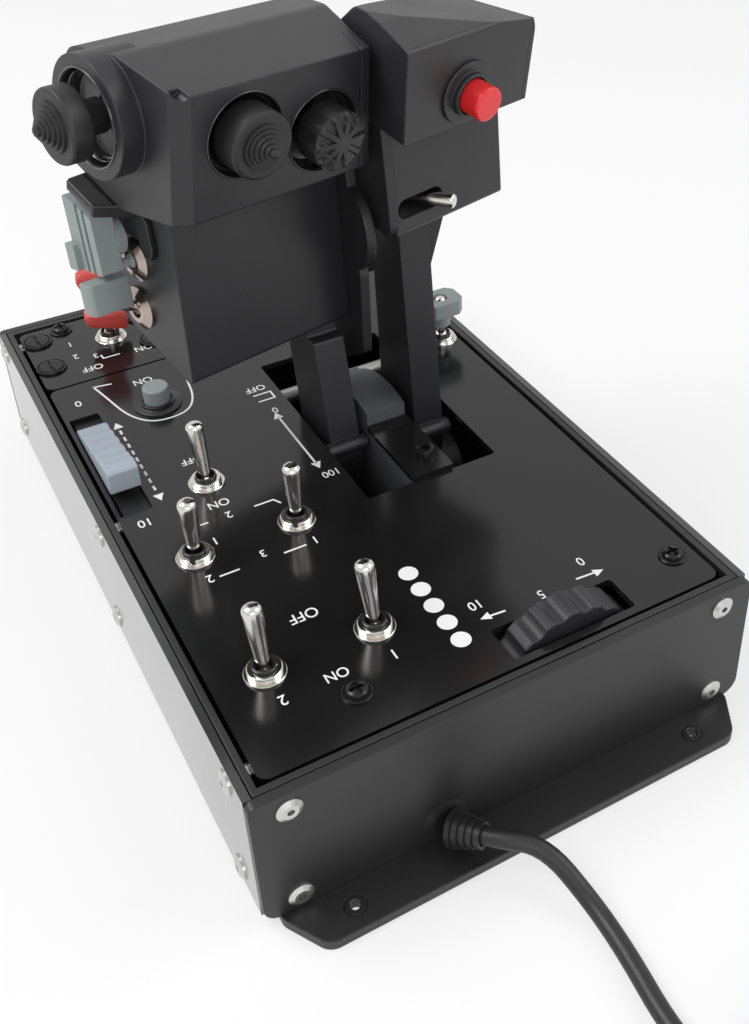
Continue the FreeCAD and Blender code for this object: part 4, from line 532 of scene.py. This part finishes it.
# ---------------------------------------------------------------- fasteners
def screw_head():
    """A washer-head screw: height falls from a dome to a flat washer, less a
    cross-shaped recess whose arms narrow outward."""
    radius = np.concatenate([np.linspace(0, 2.6, 15), [2.75, 2.9, 3.3, 3.8, 3.95, 3.95]])
    angle = np.linspace(0, 2 * np.pi, 64, endpoint=False) + 0.35
    r, a = np.meshgrid(radius, angle, indexing="ij")
    dome = 0.75 + 1.45 * np.sqrt(np.clip(1 - (r / 2.95) ** 2, 0, 1)) ** 0.8
    height = np.where(r < 2.9, dome, 0.62)
    height[-2], height[-1] = 0.5, 0.0
    reach = np.minimum(np.abs(np.sin(a)), np.abs(np.cos(a))) * r
    arm = np.clip((0.52 - reach) / 0.12, 0, 1) * np.clip((2.05 - r) / 0.25, 0, 1)
    height = height - arm * 1.15
    spin = a - 0.35 + math.radians(20)
    points = np.stack([r * np.cos(spin), r * np.sin(spin), height], 2)
    return grid_faces(points)


def stud_head():
    """A quarter-turn stud: a flat head in a raised rim with a thin slot."""
    radius = np.array([0, 0.6, 1.2, 2.0, 2.8, 3.4, 3.6, 3.75, 3.9, 4.05, 4.5, 4.6, 4.6])
    level = np.array([.9, .9, .9, .9, .9, .88, .8, .45, .45, .85, .8, .65, 0.0])
    angle = np.linspace(0, 2 * np.pi, 96, endpoint=False)
    r, a = np.meshgrid(radius, angle, indexing="ij")
    x, y = r * np.cos(a), r * np.sin(a)
    slot = np.clip((0.38 - np.abs(x)) / 0.1, 0, 1) * (np.abs(y) < 3.3)
    height = level[:, None] - 0.55 * slot
    return grid_faces(np.stack([x, y, height], 2))


def socket_head():
    """A round cap with a six-sided well."""
    radius = np.array([0, 0.7, 1.2, 1.35, 1.5, 1.9, 2.3, 2.6, 2.75, 2.75])
    angle = np.linspace(0, 2 * np.pi, 72, endpoint=False)
    r, a = np.meshgrid(radius, angle, indexing="ij")
    six = np.cos(np.pi / 6) / np.cos((a % (np.pi / 3)) - np.pi / 6)
    well = np.clip((1.45 * six - r) / 0.12, 0, 1)
    level = np.array([2.6, 2.6, 2.6, 2.6, 2.6, 2.6, 2.55, 2.4, 2.1, 0.0])
    height = level[:, None] - 1.5 * well
    return grid_faces(np.stack([r * np.cos(a), r * np.sin(a), height], 2))


def fasteners():
    half_x, rear = PANEL_HIGH[0], PANEL_LOW[1]
    screws = [(36.4, 99.9), (-60.8, 99.9), (-60.8, -106.5), (half_x - 14.3, rear + 4.2)]
    studs = [(half_x - inset_x, rear + inset_y) for inset_x in (41.3, 4.9)
             for inset_y in (8.2, 27.2)]
    parts = [moved(screw_head(), at(x, y, TOP)) for x, y in screws]
    parts += [moved(stud_head(), at(x, y, TOP, Matrix.Diagonal((1.12, 1.12, 1, 1))))
              for x, y in studs]
    parts.append(moved(socket_head(), at(-23.6, 25.4, TOP + 1.6)))
    piece("panel_screws", parts, "chassis", "fastener_black", "black_screw",
          ["panel_fasteners"], sharp=28)


# ------------------------------------------------------- slider, push button
GRIP_WIDTH = 9.3


def slider_grip():
    """A wedge whose top rises forward in five round ribs to a square lip:
    the side outline, pushed across the slot."""
    low, high = (np.array(c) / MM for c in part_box("slider_knob"))
    rear, front, base = low[1], high[1], TOP + 0.5
    lip, crest = 6.0, high[2] + 0.4
    along = np.linspace(rear + 0.8, front - lip, 61)
    share = (along - along[0]) / (along[-1] - along[0])
    top = base + 1.6 + (crest - base - 3.2) * share + 0.95 * np.abs(np.sin(share * 5 * np.pi))
    outline = [(front - 1.2, base), (front, base + 1), (front, crest - 0.8),
               (front - 0.8, crest), (front - lip + 0.9, crest), (front - lip + 0.2, crest - 0.8)]
    outline += list(zip(along[::-1], top[::-1])) + [(rear, base + 1.2), (rear, base)]
    across = np.array([-0.5, 0.5]) * GRIP_WIDTH + (low[0] + high[0]) / 2 + 0.2
    grip = moved(slab(outline, *across), STAND_UP)
    piece("slider_grip", [grip], "slider_knob", "slider_moulding", "blue_grey",
          ["slider_knob"], sharp=50, bevel=0.35)


def button_collar():
    low, high = (np.array(c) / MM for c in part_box("push_button_ring"))
    x, y = (low[:2] + high[:2]) / 2
    rows = [(4.62, -12), (4.62, 1.75), (4.8, 1.95), (5.55, 1.95), (5.75, 1.75), (5.75, 0.9),
            (6.0, 0.75), (7.6, 0.7), (7.9, 0.55), (7.95, 0.02), (5.6, 0.02), (5.6, -12),
            (4.62, -12)]
    piece("button_collar", [moved(spun(rows, 64), at(x, y, TOP))], "chassis", "collar_black",
          "black_screw", ["push_button_ring"], sharp=30)


# -------------------------------------------------------------- red and grey
SQUARENESS = 0.42                   # 1 gives round rings, 0 gives square ones


def saddle_cap():
    """An hourglass sleeve: rounded-rectangle rings whose half width and half
    depth follow tables over the height, wide at both ends."""
    x, y, z = pivot("red_toggle_tilt")
    level = np.array([4.2, 4.5, 6, 8.5, 10.2, 11.2, 13, 15.5, 18, 20.5, 23, 25, 26.2, 26.6])
    wide = np.array([6.2, 6.7, 7.1, 7.1, 6.6, 5.0, 3.9, 3.5, 4.1, 5.3, 5.9, 5.5, 4.4, 2.4])
    deep = np.array([3.9, 4.3, 4.6, 4.5, 4.3, 3.5, 3.0, 2.8, 2.9, 3.2, 3.4, 3.1, 2.4, 1.2])
    fine = np.linspace(0, len(level) - 1, 53)
    level, wide, deep = (np.interp(fine, np.arange(len(t)), t) for t in (level, wide, deep))
    angle = np.linspace(0, 2 * np.pi, 48, endpoint=False)
    ex = np.sign(np.cos(angle)) * np.abs(np.cos(angle)) ** SQUARENESS
    ey = np.sign(np.sin(angle)) * np.abs(np.sin(angle)) ** SQUARENESS
    sway = 0.11 * (level - level[0])
    droop = 2.0 * np.clip(1 - (level - level[0]) / 7, 0, 1)
    points = np.stack([sway[:, None] + wide[:, None] * ex, deep[:, None] * ey,
                       level[:, None] + droop[:, None] * (ex * 0.6 + 0.3)], 2)
    ends = [np.repeat(points[k].mean(0)[None, None], 48, 1) for k in (0, -1)]
    points = np.concatenate([ends[0], points, ends[1]])
    turn = Matrix.Rotation(math.radians(-14), 4, "Z")
    piece("saddle_cap", [moved(grid_faces(points), at(x, y, z, turn))], "red_toggle",
          "saddle_red", "soft_red", ["red_toggle_cap"], sharp=50)


def grip_frame():
    """The right grip's own axes: outward, forward, up, from its pivot."""
    lean = Matrix.Rotation(math.radians(8), 4, "X")
    yaw = Matrix.Rotation(math.radians(15), 4, "Z")
    return at(*pivot("right_throttle"), lean @ yaw)


def switch_hood():
    """A sloping roof with a front skirt over the grey levers, and the plate
    behind them."""
    grip = grip_frame()
    slope = Matrix.Rotation(math.radians(-24.8), 4, "X")
    roof = at(0, 1.0, 117.6, slope)
    outline = [(50.0, -19.5), (61.2, -18.6), (62.0, -17.8), (62.0, -6.2), (61.0, -5.2),
               (50.0, 0.6)]
    parts = [moved(slab(outline, -1.9, 0), grip @ roof)]
    skirt = [(50.0, 0.6), (50.0, -1.2), (60.9, -6.9), (62.0, -6.6), (61.9, -5.4)]
    parts.append(moved(slab(skirt[::-1], -4.0, -0.1), grip @ roof))
    edge = [(60.6, -18.4), (62.0, -18.2), (62.0, -5.8), (60.6, -5.6)]
    parts.append(moved(slab(edge, -3.2, -0.1), grip @ roof))
    back = [(-17.5, 108.0), (-2.6, 107.4), (-1.6, 102.4), (1.8, 102.0), (3.6, 105.0),
            (3.2, 113.0), (1.0, 117.2), (-16.0, 124.8), (-17.5, 122.0)]
    parts.append(moved(slab(back, 50.0, 51.7), grip @ STAND_UP))
    piece("switch_hood", parts, "right_lever", "hood_black", "grip_plastic",
          ["switch_shroud"], sharp=40, bevel=0.45)


# ------------------------------------------------------------------ markings
INK = 0.035


def stroke(points, width=0.7):
    """A line of even width through points, mitred at its corners."""
    line = np.array(points, float)
    step = np.diff(line, axis=0)
    step /= np.hypot(*step.T)[:, None]
    side = np.stack([-step[:, 1], step[:, 0]], 1)
    normal = np.concatenate([side[:1], (side[:-1] + side[1:]) / 2, side[-1:]])
    normal /= (normal ** 2).sum(1)[:, None]
    shift = normal * width / 2
    return slab(np.concatenate([line - shift, (line + shift)[::-1]]), 0.01, INK)


def disc(x, y, radius):
    angle = np.linspace(0, 2 * np.pi, 40, endpoint=False)
    return slab(np.stack([x + radius * np.cos(angle), y + radius * np.sin(angle)], 1), 0.01, INK)


def arrow_head(x, y, heading, size=3.4):
    a = math.radians(heading)
    ahead, side = np.array([math.cos(a), math.sin(a)]), np.array([-math.sin(a), math.cos(a)])
    tip = np.array([x, y])
    return slab([tip, tip - ahead * size + side * size * 0.48, tip - ahead * size
                 - side * size * 0.48], 0.01, INK)


def smooth_line(points):
    """A line through a few points with its corners cut three times over."""
    line = np.array(points, float)
    for _ in range(3):
        near, far = line[:-1] * 0.75 + line[1:] * 0.25, line[:-1] * 0.25 + line[1:] * 0.75
        line = np.concatenate([line[:1], np.stack([near, far], 1).reshape(-1, 2), line[-1:]])
    return line


LABELS = [
    ("OFF", 7.1, -37.3, 3.0), ("0", 6.2, -22.6, 3.0), ("100", 4.6, 17.0, 3.0),
    ("OFF", 38.9, -10.8, 3.0), ("ON", 39.4, 13.3, 3.2), ("2", 38.6, 19.6, 3.0),
    ("1", 46.2, 28.5, 3.2), ("3", 36.6, 40.4, 3.0), ("1", 21.6, 42.6, 3.2),
    ("2", 53.0, 42.6, 3.2), ("OFF", 36.8, 68.6, 3.6), ("ON", 38.2, 91.8, 3.2),
    ("1", 22.6, 93.0, 3.4), ("2", 53.0, 92.6, 3.4), ("10", -4.0, 88.4, 3.2),
    ("5", -21.2, 94.0, 3.2), ("0", -37.6, 88.6, 3.2), ("10", 60.8, 10.6, 3.4),
    ("0", 60.6, -59.4, 3.4), ("1", 52.8, -97.5, 3.0), ("2", 53.2, -88.5, 3.0),
    ("3", 47.0, -85.6, 3.0), ("OFF", 50.2, -78.4, 3.2), ("ON", 31.0, -82.0, 3.2),
    ("ON", 38.0, -61.6, 3.2),
]


def lettering():
    """Plain figures and ON or OFF, read from the rear."""
    parts = []
    for text, x, y, tall in LABELS:
        data = bpy.data.curves.new("label", "FONT")
        data.body, data.size = text, tall * 1.42
        data.align_x, data.align_y = "CENTER", "CENTER"
        data.offset, data.extrude = 0.035, 0
        label = bpy.data.objects.new("label", data)
        bpy.context.scene.collection.objects.link(label)
        flat = bpy.data.meshes.new_from_object(label.evaluated_get(
            bpy.context.evaluated_depsgraph_get()))
        points = np.empty(len(flat.vertices) * 3)
        flat.vertices.foreach_get("co", points)
        points = points.reshape(-1, 3) * (0.92, 1, 1)
        faces = [tuple(p.vertices) for p in flat.polygons]
        parts.append((points + (x, y, TOP + INK), faces))
        bpy.data.objects.remove(label)
    return parts


def markings():
    parts = [disc(5.5, 68.6 + 7.2 * k, 2.75) for k in range(5)]
    parts += [stroke([(6.8, -18), (6.6, 10.4)]), arrow_head(6.9, -21, 270),
              arrow_head(6.5, 13.3, 90)]
    parts += [stroke([(9.3, -33.4), (3.3, -33.4), (3.3, -29.4), (9.0, -29.4)], 0.6)]
    dashes = np.arange(-37.4, -2, 4.1)
    parts += [stroke([(53.3, y), (53.3, y + 2.3)], 0.75) for y in dashes]
    parts += [arrow_head(53.3, -42.2, 270), arrow_head(53.3, 3.4, 90)]
    parts += [stroke([(30.8, 20.0), (24.8, 20.0), (23.4, 22.6)], 0.6),
              stroke([(47.4, 20.0), (45.0, 20.0)], 0.6),
              stroke([(44.6, 43.2), (50.4, 43.2)], 0.6), stroke([(24.6, 43.4), (31.4, 43.4)], 0.6)]
    parts += [stroke([(-9.8, 94.4), (-5.4, 94.0)], 0.6), arrow_head(-2.4, 93.8, 0, 3.0),
              stroke([(-32.6, 94.0), (-38.2, 94.4)], 0.6), arrow_head(-41.2, 94.6, 180, 3.0)]
    bow = smooth_line([(53.5, -66.4), (51.6, -58.4), (48.6, -44.4), (43.4, -37.0),
                       (36.6, -35.6), (30.0, -37.2), (26.2, -44.0), (24.8, -54.6)])
    parts += [stroke(bow, 0.65), stroke([(53.8, -66.3), (47.6, -65.2)], 0.65)]
    parts += [stroke([(45.4, -85.0), (45.2, -82.4), (39.4, -82.4)], 0.6)]
    parts = [moved(part, at(0, 0, TOP)) for part in parts] + lettering()
    piece("panel_markings", parts, "chassis", "marking_white", "panel_black", sharp=30)


# ---------------------------------------------------------------------- hats
def facing_out(name):
    """A placement whose Z runs out of a hat or switch that two joints hold."""
    place = pivot(name + "_tilt_up")
    first = Vector(JOINTS[name + "_tilt_up"]["axis"])
    second = Vector(JOINTS[name + "_tilt_side"]["axis"])
    turn = Matrix((first, second, first.cross(second))).transposed()
    return at(*place, turn.to_4x4())


def hat_profile(radius, skirt, rim, foot):
    """Bore, foot, neck and skirt that every hat shares, up to its rim."""
    return [(0, 3.5), (1.9, 3.5), (1.9, 1.2), (foot, 1.2), (foot, skirt - 0.6),
            (radius - 1.6, skirt - 0.2), (radius - 0.3, skirt + 0.2), (radius, skirt + 0.9),
            (radius, rim - 0.8), (radius - 0.25, rim - 0.25), (radius - 0.8, rim)]


def stepped_hat(name, radius, skirt, rim, foot=3.4):
    """A round cap with round steps and a small cone on its face."""
    rows = hat_profile(radius, skirt, rim, foot)
    for number in range(6):
        ring, level = radius * (0.66 - 0.105 * number), rim + 0.78 * number
        rows += [(ring + 0.1, level), (ring, level + 0.72), (ring - 0.18, level + 0.8)]
    rows += [(0.4, rim + 5.0), (0, rim + 5.2)]
    piece(name + "_cap", [moved(spun(rows, 72), facing_out(name))], name + "_hat",
          "hat_rubber", "grip_plastic", [name + "_hat"], sharp=24)


def starred_hat(name, radius, skirt, rim):
    """A round cap whose domed face is cut into wedges by five raised bars:
    a wedge lies wherever a point is over half a bar away from each bar."""
    angle = np.linspace(0, 2 * np.pi, 120, endpoint=False)
    rows = np.array(hat_profile(radius, skirt, rim, 3.4)[:-2])
    r, a = np.meshgrid(rows[:, 0], angle, indexing="ij")
    side = np.stack([r * np.cos(a), r * np.sin(a), np.repeat(rows[:, 1:], 120, 1)], 2)
    reach = np.concatenate([[radius - 0.15, radius - 0.5], np.linspace(radius - 0.9, 0, 30)])
    r, a = np.meshgrid(reach, angle, indexing="ij")
    away = np.min([np.abs(r * np.sin(a - k * np.pi / 5)) for k in range(5)], axis=0)
    wedge = np.clip((away - 0.75) / 0.15, 0, 1)
    level = rim + 1.0 * (1 - (r / radius) ** 2) - 0.85 * wedge
    level[0] = np.minimum(level[0], rim - 0.35)
    face = np.stack([r * np.cos(a), r * np.sin(a), level], 2)
    cap = grid_faces(np.concatenate([side, face]))
    piece(name + "_cap", [moved(cap, facing_out(name))], name + "_hat", "hat_rubber",
          "grip_plastic", [name + "_hat"], sharp=30)


def hat_wells():
    """A thin rim round each hat's well, and a glossy cup inside it."""
    parts = []
    for name, radius in (("slew", 11.3), ("star", 11.3), ("mic", 12.5)):
        rows = [(radius, 4.2), (radius, 5.2), (radius + 0.15, 5.35), (radius + 0.4, 5.35),
                (radius + 0.55, 5.2), (radius + 0.55, 4.6), (radius, 4.2)]
        parts.append(moved(spun(rows, 72), facing_out(name)))
    piece("well_rims", parts, "right_lever", "gloss_black", "grip_plastic", sharp=50)
    cups = []
    for name, radius in (("slew", 10.9), ("star", 10.9), ("mic", 11.9)):
        rows = [(radius, -1.75), (radius, 3.4), (radius - 0.4, 3.6), (radius - 0.7, 3.3),
                (radius - 1.0, 0.2), (7.5, -1.0), (5.0, -1.45), (5.0, -1.75), (radius, -1.75)]
        cups.append(moved(spun(rows, 64), facing_out(name)))
    piece("well_cups", cups, "right_lever", "gloss_black", "grip_plastic", sharp=50)


# ------------------------------------------------------------ lower switch
def lower_switch():
    """A short bevelled block on a bare metal stem."""
    grip = grip_frame()
    outline = [(54.0, -13.2), (65.6, -14.2), (66.4, -13.6), (66.2, -9.4), (65.4, -8.4),
               (55.0, -7.4), (54.0, -8.0)]
    block = moved(slab(outline, 87.6, 97.0), grip)
    piece("lower_grey_block", [block], "lower_grey_switch", "grey_moulding", "grey_plastic",
          ["lower_grey_switch"], sharp=40, bevel=0.6)
    x, y, z = pivot("lower_grey_switch_tilt")
    lay = Matrix.Rotation(math.radians(64), 4, "Y")
    stem = spun([(0, -2.0), (1.6, -1.8), (2.3, -0.8), (2.5, 0.4), (2.0, 1.6), (1.5, 2.4),
                 (1.7, 7.0), (1.9, 9.0), (0, 9.2)], 32)
    level = grip.to_3x3().to_4x4() @ lay
    piece("lower_switch_stem", [moved(stem, at(x, y, z, level))], "lower_grey_switch",
          "bronze", "nickel", sharp=40)


# ------------------------------------------------------------- flange rings, painted shade
MOUNT_X, MOUNT_INSET = 52.15, 6.4


def hole_shade_rings():
    """A black ring in each of the flange's holes: painted shade, a dark ring that narrows the bore
    and stands for the shade inside the hole.
    """
    rows = [(1.3, 1.6), (1.3, 3.1), (1.6, 3.35), (2.7, 3.3), (2.85, 3.05), (2.85, 0.1),
            (1.5, 0.1), (1.3, 0.3), (1.3, 1.6)]
    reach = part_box("base_plate")[1][1] / MM - MOUNT_INSET
    parts = [moved(spun(rows, 40), at(x, y, 0)) for x in (-MOUNT_X, MOUNT_X)
             for y in (reach, -reach)]
    # painted shade: black rings stand for the shadow inside the flange's holes
    piece("hole_shade_rings", parts, "chassis", "collar_black", "black_screw", sharp=40)


stepped_hat("slew", 9.1, 3.2, 12.2)
starred_hat("star", 8.3, 3.4, 12.6)
stepped_hat("mic", 9.8, 8.0, 14.5, foot=4.6)
hat_wells()
lower_switch()
hole_shade_rings()
toggle_bats()
toggle_rings()
fasteners()
slider_grip()
button_collar()
saddle_cap()
switch_hood()
markings()


# ------------------------------------------------------------ floor, lights
def sheet_material(name, shade, glow):
    """A pale stage sheet that glows only where it is looked at directly or
    in a mirror, so that it lights nothing."""
    material = bpy.data.materials.new(name)
    material.use_nodes = True
    tree = material.node_tree
    tree.nodes.clear()
    plain = add_node(tree, "ShaderNodeBsdfDiffuse", None, {"Color": (shade, shade, shade, 1)})
    light = add_node(tree, "ShaderNodeEmission", None, {"Strength": 1.0})
    path = add_node(tree, "ShaderNodeLightPath")
    seen = add_node(tree, "ShaderNodeMath", {"operation": "MAXIMUM"}, {
        0: path.outputs["Is Camera Ray"], 1: path.outputs["Is Glossy Ray"]})
    scaled = add_node(tree, "ShaderNodeMath", {"operation": "MULTIPLY"}, {
        0: seen.outputs[0], 1: glow})
    mix = add_node(tree, "ShaderNodeMixShader", None, {
        0: scaled.outputs[0], 1: plain.outputs[0], 2: light.outputs[0]})
    add_node(tree, "ShaderNodeOutputMaterial", None, {0: mix.outputs[0]})
    return material


FLOOR_HALF, FLOOR_Z = 3.0, -0.0002
PAPER_SHADE, PAPER_GLOW = 0.86, 0.62
WORLD_DIM, WORLD_SEEN, WORLD_IN_MIRRORS = 0.42, 1.0, 0.7


def paper_floor():
    half, z = FLOOR_HALF, FLOOR_Z
    mesh = bpy.data.meshes.new("floor")
    mesh.from_pydata([(-half, -half, z), (half, -half, z), (half, half, z), (-half, half, z)],
                     [], [(0, 1, 2, 3)])
    floor = bpy.data.objects.new("floor", mesh)
    bpy.context.scene.collection.objects.link(floor)
    floor.data.materials.append(sheet_material("floor_paper", PAPER_SHADE, PAPER_GLOW))


def studio_world():
    """White where it is looked at, a little dimmer in mirrors, dim as a light."""
    world = bpy.data.worlds.new("studio")
    bpy.context.scene.world = world
    world.use_nodes = True
    tree = world.node_tree
    path = add_node(tree, "ShaderNodeLightPath")
    glossy = add_node(tree, "ShaderNodeMath", {"operation": "MULTIPLY"}, {
        0: path.outputs["Is Glossy Ray"], 1: WORLD_IN_MIRRORS})
    seen = add_node(tree, "ShaderNodeMath", {"operation": "MAXIMUM"}, {
        0: path.outputs["Is Camera Ray"], 1: glossy.outputs[0]})
    strength = add_node(tree, "ShaderNodeMix", {"data_type": "FLOAT"}, {
        0: seen.outputs[0], 2: WORLD_DIM, 3: WORLD_SEEN})
    ground = tree.nodes["Background"]
    tree.links.new(strength.outputs[0], ground.inputs["Strength"])
    ground.inputs["Color"].default_value = (1, 1, 1, 1)


LIT_POINT = (0, 0, 0.08)


def lamp(name, place, target, size, power):
    data = bpy.data.lights.new(name, "AREA")
    data.shape, data.size, data.size_y, data.energy = "RECTANGLE", size[0], size[1], power
    light = bpy.data.objects.new(name, data)
    light.location = place
    light.rotation_euler = (Vector(target) - Vector(place)).to_track_quat("-Z", "Y").to_euler()
    bpy.context.scene.collection.objects.link(light)


paper_floor()
studio_world()
lamp("key_light", (0.75, -0.35, 1.15), LIT_POINT, (0.9, 0.7), 13)
lamp("fill_light", (-0.9, 0.5, 0.9), LIT_POINT, (0.8, 0.8), 5)
lamp("front_light", (0.25, 1.1, 0.55), LIT_POINT, (0.9, 0.5), 4)

scene = bpy.context.scene
scene.view_settings.view_transform = "Standard"
bpy.context.view_layer.update()
